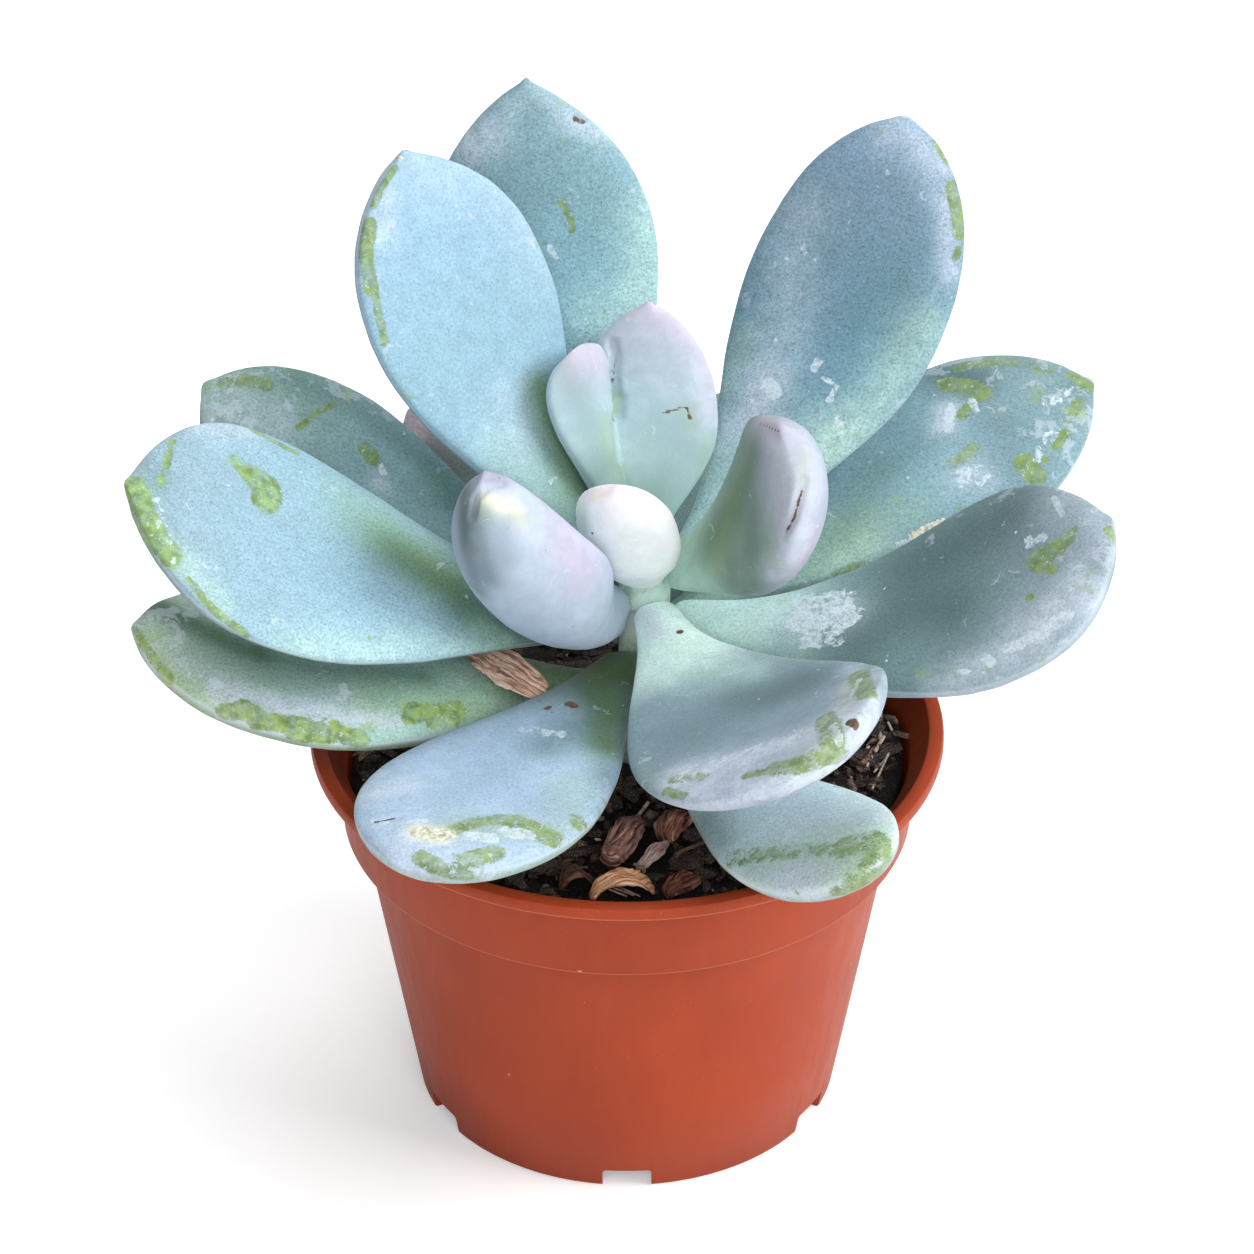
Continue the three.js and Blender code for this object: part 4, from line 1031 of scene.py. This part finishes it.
pot = turned("pot_wall", POT_OUTLINE, POT_SEGMENTS, AXIS)
underside = POT_OUTLINE[0][1] * MM
for vertex in pot.data.vertices:
    vertex.select = abs(vertex.co.z - underside) < 0.01 * MM
only(pot)
bpy.ops.object.mode_set(mode="EDIT")
bpy.ops.mesh.select_mode(type="VERT")
bpy.ops.mesh.extrude_region_move(TRANSFORM_OT_translate={"value": (0, 0, 0)})
bpy.ops.mesh.merge(type="CENTER")
bpy.ops.mesh.select_all(action="SELECT")
bpy.ops.mesh.normals_make_consistent(inside=False)
leave_edit()
print(len(pot.data.polygons), "faces in the turned wall")

# %% [markdown]
# The foot ring has six square notches and the floor has seven drain holes. Each is cut with a boolean
# modifier: a plain bar or rod is added where the gap is, and taken away from the wall. That keeps the
# rings round, where deleting faces would leave ragged holes. A bevel then softens the cut edges.

# %% Cut the notches and the drain holes
def cutter_done(cutter):
    only(cutter)
    bpy.ops.object.transform_apply(location=True, rotation=True, scale=True)
    return cutter


cutters = []
for k in range(6):
    turn = math.radians(-90 + 60 * k)
    spot = AXIS + Vector((math.cos(turn), math.sin(turn), 0)) * 27.5 * MM
    bpy.ops.mesh.primitive_cube_add(size=1, location=(spot.x, spot.y, 1.0 * MM),
                                    rotation=(0, 0, turn), scale=(8 * MM, 6.6 * MM, 4.0 * MM))
    notch = cutter_done(bpy.context.object)
    edit(notch)
    bpy.ops.mesh.bevel(offset=0.5 * MM, segments=2, affect="EDGES")
    leave_edit()
    cutters.append(notch)
for radius, turn in [(0, 0)] + [(17, 60 * k - 90) for k in range(6)]:
    spot = AXIS + Vector((math.cos(math.radians(turn)), math.sin(math.radians(turn)), 0)) * radius * MM
    bpy.ops.mesh.primitive_cylinder_add(vertices=32, radius=3 * MM, depth=4 * MM,
                                        location=(spot.x, spot.y, 3.85 * MM))
    cutters.append(cutter_done(bpy.context.object))
for cutter in cutters:
    apply_modifier(pot, "BOOLEAN", object=cutter, operation="DIFFERENCE", solver="EXACT")
    bpy.data.objects.remove(cutter)
apply_modifier(pot, "BEVEL", width=0.18 * MM, segments=2, limit_method="ANGLE",
               angle_limit=math.radians(50))
only(pot)
bpy.ops.object.shade_smooth_by_angle(angle=math.radians(40))
print(len(pot.data.polygons), "faces in the pot")

# %% [markdown]
# The plastic is coloured through and satin: a broad soft highlight, faint streaks from the mould and
# from wiping, fine scratches, and a few pale specks of dust and lime. The two edges where the wall
# steps out carry a painted highlight, a paler orange line. A mask by height alone would also mark the
# inside of the wall, so those rings get a stored number of their own.

# %% The pot's plastic
def make_worn_dust():
    """Dust and lime specks, streaks that run down, and fine scratches."""
    tree, given, out = effect("dust and streaks", {"Size": "value"},
                              {"Specks": "value", "Streaks": "value", "Clouds": "value",
                               "Scratches": "value"})
    place = object_place(tree)
    shaken = ragged_place(tree, place, 0.8, 0.8)
    tree.links.new(flecks(tree, shaken, 5.2, 0.22, 0.05), out.inputs["Specks"])
    drawn = put(tree, "Mapping", {"Vector": place, "Scale": (1.0, 1.0, 0.16)}).outputs["Vector"]
    tree.links.new(grain(tree, drawn, 2.2, 4, 0.6), out.inputs["Streaks"])
    size = calc(tree, "DIVIDE", 1000.0, given["Size"])
    clouds = put(tree, "TexNoise", {"Vector": place, "Scale": size, "Detail": 3.0})
    tree.links.new(clouds.outputs["Fac"], out.inputs["Clouds"])
    turned_place = put(tree, "Mapping", {"Vector": place, "Rotation": (0.4, 0.9, 0.3),
                                         "Scale": (1.0, 0.05, 1.0)}).outputs["Vector"]
    scratch = fade(tree, grain(tree, turned_place, 0.5, 2, 0.5), 0.7, 0.76)
    tree.links.new(scratch, out.inputs["Scratches"])
    return tree


dust_and_streaks = make_worn_dust()


def pot_finish():
    material, tree, surface = new_finish("terracotta_plastic")
    wear = put(tree, "Group", {"Size": 18.0}, node_tree=dust_and_streaks)
    colour = blend(tree, fade(tree, wear.outputs["Clouds"], 0.3, 0.7), paint("#9d3816"), paint("#a83f1b"))
    colour = blend(tree, fade(tree, wear.outputs["Streaks"], 0.4, 0.75, 0, 0.14), colour, paint("#b85932"))
    colour = blend(tree, calc(tree, "MULTIPLY", wear.outputs["Scratches"], 0.2), colour, paint("#d88a64"))
    colour = blend(tree, calc(tree, "MULTIPLY", wear.outputs["Specks"], 0.55), colour, paint("#e6b8a0"))
    # Painted highlight: a paler orange line along the collar's and the lip's outer edges.
    colour = blend(tree, calc(tree, "MULTIPLY", attribute(tree, "edge"), 0.4), colour, paint("#e0845c"))
    rough = fade(tree, wear.outputs["Streaks"], 0.35, 0.7, 0.42, 0.52)
    rough = calc(tree, "ADD", rough, calc(tree, "MULTIPLY", wear.outputs["Specks"], 0.4))
    height = calc(tree, "ADD", calc(tree, "MULTIPLY", wear.outputs["Clouds"], 0.8),
                  calc(tree, "MULTIPLY", wear.outputs["Specks"], 0.3))
    relief = put(tree, "Bump", {"Height": height, "Strength": 0.25, "Distance": 0.25 * MM})
    shader = put(tree, "BsdfPrincipled", {
        "Base Color": colour, "Roughness": rough, "Normal": relief.outputs["Normal"],
        "Specular IOR Level": 0.28})
    tree.links.new(shader.outputs[0], surface)
    return material


wall = points_of(pot.data)
outwards = np.hypot(wall[:, 0] - AXIS.x, wall[:, 1] - AXIS.y) / MM
upwards = wall[:, 2] / MM
on_collar = (np.abs(upwards - 42.8) < 0.2) & (outwards > 37.6)
on_lip = (np.abs(upwards - 54.6) < 0.15) & (outwards > 41.8)
store(pot, "edge", on_collar | on_lip)
dress(pot, pot_finish(), "pot_plastic", "pot")
print("the pot has its plastic")

# %% [markdown]
# ## Soil
# Peat is black and loose: a rough crust of crumbs, with a few tan fibres and bits of bark. The packed
# soil gives the mound. Its top is cut finer and pushed up and down by noise of three sizes, and it is
# heaped up a little at the right, where the picture shows the soil higher. A displace modifier would
# also push the soil's sides through the pot, so only the points of the top are moved.

# %% The soil's crust
HEAP_HEIGHT = 3.0
HEAP_TURN = 0.1
soil = copy_of_node("soil", "soil_crust")
# The copy starts out selected, points and edges too, so all of it is unselected in edit mode first.
edit(soil, everything=False)
leave_edit()
for face in soil.data.polygons:
    face.select = face.normal.z > 0.3 and face.center.z > 44 * MM
only(soil)
bpy.ops.object.mode_set(mode="EDIT")
bpy.ops.mesh.select_mode(type="FACE")
bpy.ops.mesh.subdivide(number_cuts=5, smoothness=0)
leave_edit()
places = points_of(soil.data)
top = normals_of(soil.data)[:, 2] > 0.2
lift = 1.0 * waves(places, 4.2, 4) + 0.6 * waves(places, 1.5, 8) + 0.3 * waves(places, 0.6, 2)
out_x, out_y = places[:, 0] - AXIS.x, places[:, 1] - AXIS.y
away = np.hypot(out_x, out_y) / MM
turn = np.arctan2(out_y, out_x)
heap = HEAP_HEIGHT * np.exp(-((turn - HEAP_TURN) / 0.8) ** 2) * np.clip((away - 14) / 14, 0, 1)
places[:, 2] += np.where(top & (places[:, 2] > 44 * MM), (lift + heap) * MM, 0)
move_points(soil.data, places)
print(len(soil.data.polygons), "faces in the crust")

# %% [markdown]
# Peat, bark and the loose bits have no gloss and no pattern that runs one way, so one function makes
# all of their finishes: three tones laid over each other by a broad and a fine noise, and a bump made
# of the same noises, so that what is pale also stands out. A finish for each would repeat the nodes.

# %% Finishes for peat, stem and loose bits
def rough_finish(name, dark, middle, light, size, roughness=0.9, relief_mm=0.3, gloss=0.3):
    """A dull, crumbly or papery finish of three tones."""
    material, tree, surface = new_finish(name)
    place = object_place(tree)
    broad = grain(tree, place, size, 5, 0.65, 0.3)
    fine = grain(tree, place, size / 6, 4, 0.7)
    colour = blend(tree, fade(tree, broad, 0.35, 0.6), paint(dark), paint(middle))
    colour = blend(tree, fade(tree, fine, 0.52, 0.72), colour, paint(light))
    height = calc(tree, "ADD", broad, calc(tree, "MULTIPLY", fine, 0.6))
    relief = put(tree, "Bump", {"Height": height, "Strength": 0.9, "Distance": relief_mm * MM})
    shader = put(tree, "BsdfPrincipled", {
        "Base Color": colour, "Roughness": fade(tree, fine, 0.3, 0.7, roughness, roughness - 0.25),
        "Normal": relief.outputs["Normal"], "Specular IOR Level": gloss})
    tree.links.new(shader.outputs[0], surface)
    return material


peat = rough_finish("peat", "#040302", "#120d0b", "#4a3c32", 1.8)
dress(soil, peat, "soil", "soil")

stem = copy_of_node("stem", "stem_bark")
apply_modifier(stem, "SUBSURF", levels=2, render_levels=2)
dress(stem, rough_finish("stem_bark", "#a4c2b0", "#cfe6da", "#dff0e8", 2.6, 0.7, 0.05), "stem", "stem")
print("the soil and the stem are dressed")

# %% [markdown]
# Peat breaks into crumbs and lumps, and holds fibres and a few pale grains. A particle system could
# strew them, but plain copies can be kept clear of the stem and of the dried leaves. Three crumbs of
# twenty faces are enough: they are copied, sized, turned and set on the crust where a vertical ray
# meets it, and their flat faces look broken. A fibre is a thin rod cut into short lengths, and each
# copy is bent by noise. The draws are seeded, so that the soil is the same each time.

# %% Strew crumbs, grains and fibres on the soil
draw = random.Random(7)
crust_tree = BVHTree.FromObject(soil, bpy.context.evaluated_depsgraph_get())
DRIED_ON_SOIL = ("dried_leaf_ribbed", "dried_leaf_pointed", "dried_leaf_folded", "dried_leaf_tan",
                 "dried_leaf_right", "dried_leaf_left")
kept_clear = [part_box(node) for node in DRIED_ON_SOIL]


def free_spot(reach, margin):
    """A point of the crust that is clear of the wall, the stem and the dried leaves."""
    while True:
        turn, out = draw.uniform(0, math.tau), reach * math.sqrt(draw.random())
        x, y = AXIS.x + out * math.cos(turn), AXIS.y + out * math.sin(turn)
        if math.hypot(x - STEM_AXIS.x, y - STEM_AXIS.y) < 5 * MM:
            continue
        if any(low.x - margin < x < high.x + margin and low.y - margin < y < high.y + margin
               for low, high in kept_clear):
            continue
        place = crust_tree.ray_cast(Vector((x, y, 0.1)), Vector((0, 0, -1)))[0]
        if place is not None:
            return place


def model_crumb(seed, long):
    """A lumpy crumb of twenty faces, to be copied. It is long along X, and one metre wide."""
    bpy.ops.object.select_all(action="DESELECT")
    bpy.ops.mesh.primitive_ico_sphere_add(subdivisions=1, radius=0.5)
    crumb = bpy.context.object
    places = points_of(crumb.data)
    push = 1 + 0.9 * waves(places * MM, 0.6, seed)
    move_points(crumb.data, places * push[:, None] * np.array([long, 1, 1]))
    return crumb


def model_fibre():
    """A straight rod along X, one metre long and one metre thick, to be sized as it is copied."""
    bpy.ops.object.select_all(action="DESELECT")
    bpy.ops.mesh.primitive_circle_add(vertices=5, radius=0.5, rotation=(0, math.pi / 2, 0),
                                      location=(-0.5, 0, 0), fill_type="NGON")
    fibre = bpy.context.object
    bpy.ops.object.transform_apply(location=True, rotation=True, scale=True)
    edit(fibre)
    for _ in range(9):
        bpy.ops.mesh.extrude_region_move(TRANSFORM_OT_translate={"value": (1 / 9, 0, 0)})
    bpy.ops.mesh.select_all(action="SELECT")
    bpy.ops.mesh.normals_make_consistent(inside=False)
    leave_edit()
    return fibre


def copy_set(model, place, size, turn):
    """A copy with its own mesh, sized, turned and moved in its mesh."""
    piece = model.copy()
    piece.data = model.data.copy()
    bpy.context.collection.objects.link(piece)
    piece.data.transform(Matrix.LocRotScale(Vector(place), Euler(turn), Vector(size)))
    return piece


def join_as(name, pieces, material, slot):
    bpy.ops.object.select_all(action="DESELECT")
    for piece in pieces:
        piece.select_set(True)
    bpy.context.view_layer.objects.active = pieces[0]
    bpy.ops.object.join()
    joined = bpy.context.object
    joined.name = joined.data.name = name
    dress(joined, material, slot)
    return joined


def strew(models, count, smallest, largest, margin):
    pieces = []
    for k in range(count):
        wide = MM * draw.uniform(smallest ** 0.5, largest ** 0.5) ** 2
        place = free_spot(36.2 * MM - wide / 2, margin * MM + wide / 2)
        size = (wide * draw.uniform(0.8, 1.3), wide, wide * draw.uniform(0.5, 0.9))
        turn = (draw.uniform(-0.5, 0.5), draw.uniform(-0.5, 0.5), draw.uniform(0, 6.3))
        lifted = place + Vector((0, 0, wide * 0.22))
        pieces.append(copy_set(models[k % len(models)], lifted, size, turn))
    return pieces


crumbs = [model_crumb(3, 1.0), model_crumb(8, 1.5), model_crumb(15, 2.3)]
join_as("soil_crumbs", strew(crumbs, 1500, 0.5, 2.0, -0.6) + strew(crumbs, 90, 1.8, 3.2, -0.3),
        rough_finish("peat_crumb", "#080504", "#33261f", "#a08a7a", 1.1, 0.8, 0.25, 0.5), "soil")
join_as("soil_grains", strew(crumbs, 40, 0.35, 0.95, 0.1),
        rough_finish("pale_grain", "#7d6a58", "#b0a092", "#e2dad0", 0.6, 0.9, 0.1), "soil")
fibre = model_fibre()
fibres = []
for k in range(46):
    long, thick = draw.uniform(4, 12) * MM, draw.uniform(0.3, 0.6) * MM
    place = free_spot(30 * MM, 1 * MM)
    piece = copy_set(fibre, place + Vector((0, 0, 0.7 * MM)), (long, thick, thick),
                     (0, draw.uniform(-0.25, 0.25), draw.uniform(0, 6.3)))
    places = points_of(piece.data)
    sway = np.stack([waves(places, 5, k), waves(places, 5, k + 40), 0.4 * waves(places, 4, k + 80)], 1)
    move_points(piece.data, places + sway * 1.8 * MM)
    fibres.append(piece)
bundle = join_as("soil_fibres", fibres,
                 rough_finish("fibre", "#2a1d17", "#66503f", "#a8907e", 1.6, 0.85, 0.1), "soil")
only(bundle)
bpy.ops.object.shade_smooth()
print("crumbs, grains and fibres lie on the soil")

# %% [markdown]
# Some bits show well in the picture: round lumps between the dried leaves, pale tips, long crumbs at
# the right, and straws. They could be moved into place by hand. Here each is laid where the ray
# through its place in the picture meets the crust, so that it shows at that place. A bit has its place
# in the picture, its three sizes in millimetres and its turn in degrees. A straw has two ends and
# how thick it is.

# %% Lay the bits that show well
LUMPS = [
    ((611, 858), (1.9, 1.8, 1.5), 20), ((652, 817), (1.9, 1.7, 1.4), 60), ((590, 820), (2.2, 1.3, 1.0), 10),
    ((606, 806), (2.6, 1.4, 1.1), 150), ((580, 846), (2.0, 1.2, 1.0), 40), ((560, 876), (2.2, 1.2, 0.9), 160),
    ((545, 888), (1.6, 1.0, 0.8), 70), ((626, 880), (2.2, 1.6, 0.8), 10), ((700, 862), (1.8, 1.4, 1.0), 80),
    ((893, 722), (3.4, 1.2, 1.1), 120), ((880, 738), (3.2, 1.2, 1.1), 50), ((872, 755), (3.6, 1.1, 1.0), 65),
    ((862, 770), (2.6, 1.3, 1.1), 20), ((852, 786), (2.8, 1.4, 1.1), 100), ((868, 786), (2.2, 1.2, 1.0), 140),
    ((878, 768), (2.4, 0.9, 0.8), 80), ((900, 735), (3.0, 1.0, 0.9), 150), ((846, 800), (2.4, 1.3, 1.0), 10),
    ((500, 702), (2.4, 1.2, 1.0), 30), ((322, 748), (2.2, 1.2, 1.0), 20), ((345, 752), (1.8, 1.2, 1.0), 70),
]
TIPS = [
    ((635, 865), (0.8, 0.5, 0.4), 40), ((667, 838), (1.1, 0.7, 0.6), 40), ((684, 878), (0.8, 0.6, 0.4), 0),
    ((644, 872), (1.1, 0.6, 0.5), 110), ((641, 878), (0.8, 0.4, 0.4), 40), ((598, 840), (0.5, 0.4, 0.3), 0),
    ((868, 748), (1.0, 0.5, 0.4), 60), ((858, 764), (0.9, 0.4, 0.4), 30), ((850, 776), (1.0, 0.5, 0.4), 100),
]
STRAWS = [
    ((607, 889), (634, 899), 0.28), ((609, 893), (627, 900), 0.24), ((618, 890), (640, 900), 0.22),
    ((872, 793), (916, 764), 0.34), ((884, 740), (866, 770), 0.5), ((896, 722), (880, 742), 0.55),
    ((894, 752), (874, 776), 0.3), ((908, 742), (892, 734), 0.4), ((636, 822), (648, 806), 0.5),
]


def spot_on_soil(x, y):
    """Where the ray through the picture meets the crust, or else the crust's border next to it."""
    ray = ray_at(x, y)
    place = crust_tree.ray_cast(camera.location, ray)[0]
    if place is None:
        print("no soil at", x, y)
        level = camera.location + ray * ((camera.location.z - 50 * MM) / -ray.z)
        out = (level - AXIS).xy
        out *= min(1, 35.5 * MM / out.length)
        place = crust_tree.ray_cast(Vector((AXIS.x + out.x, AXIS.y + out.y, 0.1)), Vector((0, 0, -1)))[0]
    return place


def laid(bits):
    pieces = []
    for k, (seen, size, turn) in enumerate(bits):
        place = spot_on_soil(*seen) + Vector((0, 0, size[2] * 0.3 * MM))
        pieces.append(copy_set(crumbs[k % 3], place, Vector(size) * MM, (0.2, 0.1, math.radians(turn))))
    return pieces


join_as("soil_lumps", laid(LUMPS),
        rough_finish("peat_lump", "#1c120e", "#7c6252", "#dcc6b4", 1.3, 0.75, 0.3, 0.4), "soil")
straws = []
for start, end, thick in STRAWS:
    one, other = spot_on_soil(*start), spot_on_soil(*end)
    lie = (other - one).to_track_quat("X", "Z").to_euler()
    size = ((other - one).length, thick * MM, thick * MM)
    straws.append(copy_set(fibre, (one + other) / 2 + Vector((0, 0, 0.6 * MM)), size, lie))
join_as("pale_bits", laid(TIPS) + straws,
        rough_finish("pale_bit", "#9a8272", "#cdb8aa", "#f4e8de", 0.9, 0.8, 0.1), "soil")
for model in crumbs + [fibre]:
    bpy.data.objects.remove(model)
print(len(LUMPS), "lumps,", len(TIPS), "tips and", len(STRAWS), "straws")

# %% [markdown]
# ## Dried leaves
# Old leaves shrivel to brown husks with ribs that run from end to end. Sculpting would give each its
# own folds. Here each packed husk is rounded, crumpled by noise and furrowed along its length, which
# is enough at this size. The finish follows the husk too: noise is stretched along it, so that dark
# furrows and pale ridges run its way, and the thin borders are pale.

# %% The dried leaves
def husk_finish(name, dark, middle, light):
    material, tree, surface = new_finish(name)
    place = object_place(tree)
    across, along = attribute(tree, "across"), attribute(tree, "along")
    rib_place = put(tree, "CombineXYZ", {"X": calc(tree, "MULTIPLY", along, 1.6),
                                         "Y": calc(tree, "MULTIPLY", across, 3.4)}).outputs[0]
    ribs = put(tree, "TexNoise", {"Vector": rib_place, "Scale": 1.5, "Detail": 4.0,
                                  "Roughness": 0.6}).outputs["Fac"]
    fine = grain(tree, place, 0.5, 4, 0.7)
    patches = grain(tree, place, 2.2, 3)
    colour = blend(tree, fade(tree, ribs, 0.38, 0.56), paint(dark), paint(middle))
    colour = blend(tree, fade(tree, ribs, 0.54, 0.72, 0, 0.9), colour, paint(light))
    colour = blend(tree, fade(tree, patches, 0.55, 0.7, 0, 0.45), colour, paint(dark))
    border = fade(tree, calc(tree, "ABSOLUTE", across), 0.8, 0.98, 0, 0.5)
    colour = blend(tree, border, colour, paint(light))
    colour = blend(tree, fade(tree, fine, 0.6, 0.75, 0, 0.35), colour, paint(light))
    height = calc(tree, "ADD", ribs, calc(tree, "MULTIPLY", fine, 0.35))
    relief = put(tree, "Bump", {"Height": height, "Strength": 0.9, "Distance": 0.5 * MM})
    shader = put(tree, "BsdfPrincipled", {
        "Base Color": colour, "Roughness": fade(tree, fine, 0.3, 0.7, 0.85, 0.6),
        "Normal": relief.outputs["Normal"], "Specular IOR Level": 0.3})
    tree.links.new(shader.outputs[0], surface)
    return material


# The caught husk and the tan husk lie in shade. Their colours are made paler as painted light, so that they
# look lit.
DRIED_COLOURS = {
    "dried_leaf_ribbed": ("#3a221a", "#a8776a", "#e8c2b4"),
    "dried_leaf_pointed": ("#8a685c", "#dcb8ac", "#fff0e8"),
    "dried_leaf_folded": ("#3a2118", "#a8705c", "#dcb49e"),
    "dried_leaf_tan": ("#a8683e", "#fabd92", "#ffe8d4"),
    "dried_leaf_right": ("#26140e", "#864e3e", "#c08a78"),
    "dried_leaf_left": ("#20120d", "#664236", "#a07664"),
    "dried_leaf_caught": ("#96705e", "#ffd2ba", "#fff2e8"),
}
for node, (dark, middle, light) in DRIED_COLOURS.items():
    dried = copy_of_node(node, node + "_husk")
    round_off(dried, 3)
    places = points_of(dried.data)
    along, across = leaf_map(dried)
    crumple = 0.35 * waves(places, 2.6, 6) + 0.18 * waves(places, 0.9, 5)
    ribbed = np.stack([along * 2.2, across * 5.5, np.zeros(len(places))], 1)
    furrow = 0.22 * waves(ribbed * MM, 1.0, len(node))
    move_points(dried.data, places + normals_of(dried.data) * ((crumple + furrow) * MM)[:, None])
    dress(dried, husk_finish(node + "_husk", dark, middle, light), "dried_leaf", node)
print(len(DRIED_COLOURS), "dried leaves")

# %% [markdown]
# ## Floor and light
# The plant stands on a plain white floor in soft studio light. The world is white and is brighter from
# the right than from the left. A large square lamp at the right is the main light, which gives the pot
# its brighter right side and the faint shadow at its left. A weaker one in front fills the near sides,
# and one above and behind lights the rims of the leaves. The floor glows a little to the camera alone,
# so that it looks as white as a studio sheet and still sends no more light up to the leaves.

# %% Floor and light
bpy.ops.object.select_all(action="DESELECT")
bpy.ops.mesh.primitive_circle_add(vertices=96, radius=4, fill_type="NGON", location=(0, 0, 0))
floor = bpy.context.object
floor.name = "floor"
floor_material, floor_tree, floor_surface = new_finish("floor_white")
floor_cloud = grain(floor_tree, object_place(floor_tree), 60, 2)
floor_colour = blend(floor_tree, floor_cloud, paint("#f4f4f4"), paint("#f8f8f8"))
floor_shader = put(floor_tree, "BsdfPrincipled", {
    "Base Color": floor_colour, "Roughness": 0.9, "Specular IOR Level": 0.1,
    "Emission Color": (0.9, 0.97, 1.0, 1)})
seen = put(floor_tree, "LightPath").outputs["Is Camera Ray"]
floor_tree.links.new(calc(floor_tree, "MULTIPLY", seen, 0.3), floor_shader.inputs["Emission Strength"])
floor_tree.links.new(floor_shader.outputs[0], floor_surface)
floor.data.materials.append(floor_material)

SKY_LEFT = 0.14
SKY_RIGHT = 0.52
world = bpy.data.worlds.new("studio")
bpy.context.scene.world = world
world.use_nodes = True
sky = world.node_tree
sideways = put(sky, "SeparateXYZ", {0: put(sky, "TexCoord").outputs["Generated"]}).outputs["X"]
background = sky.nodes["Background"].inputs
background["Color"].default_value = (1, 1, 1, 1)
sky.links.new(fade(sky, sideways, -1.0, 1.0, SKY_LEFT, SKY_RIGHT), background["Strength"])


def lamp(name, place, size, power):
    """A large square lamp that faces the plant."""
    towards = Vector((0, 0, 0.07)) - Vector(place)
    bpy.ops.object.light_add(type="AREA", location=place,
                             rotation=towards.to_track_quat("-Z", "Y").to_euler())
    light = bpy.context.object
    light.name = name
    light.data.shape = "SQUARE"
    light.data.size = size
    light.data.energy = power
    return light


lamp("key", (1.2, -0.35, 0.95), 0.9, 18)
lamp("fill", (0.05, -1.2, 0.85), 0.9, 9)
lamp("top", (0.1, 0.5, 1.3), 0.9, 8)
bpy.context.scene.view_settings.view_transform = "Standard"
print("floor and lights are in place")
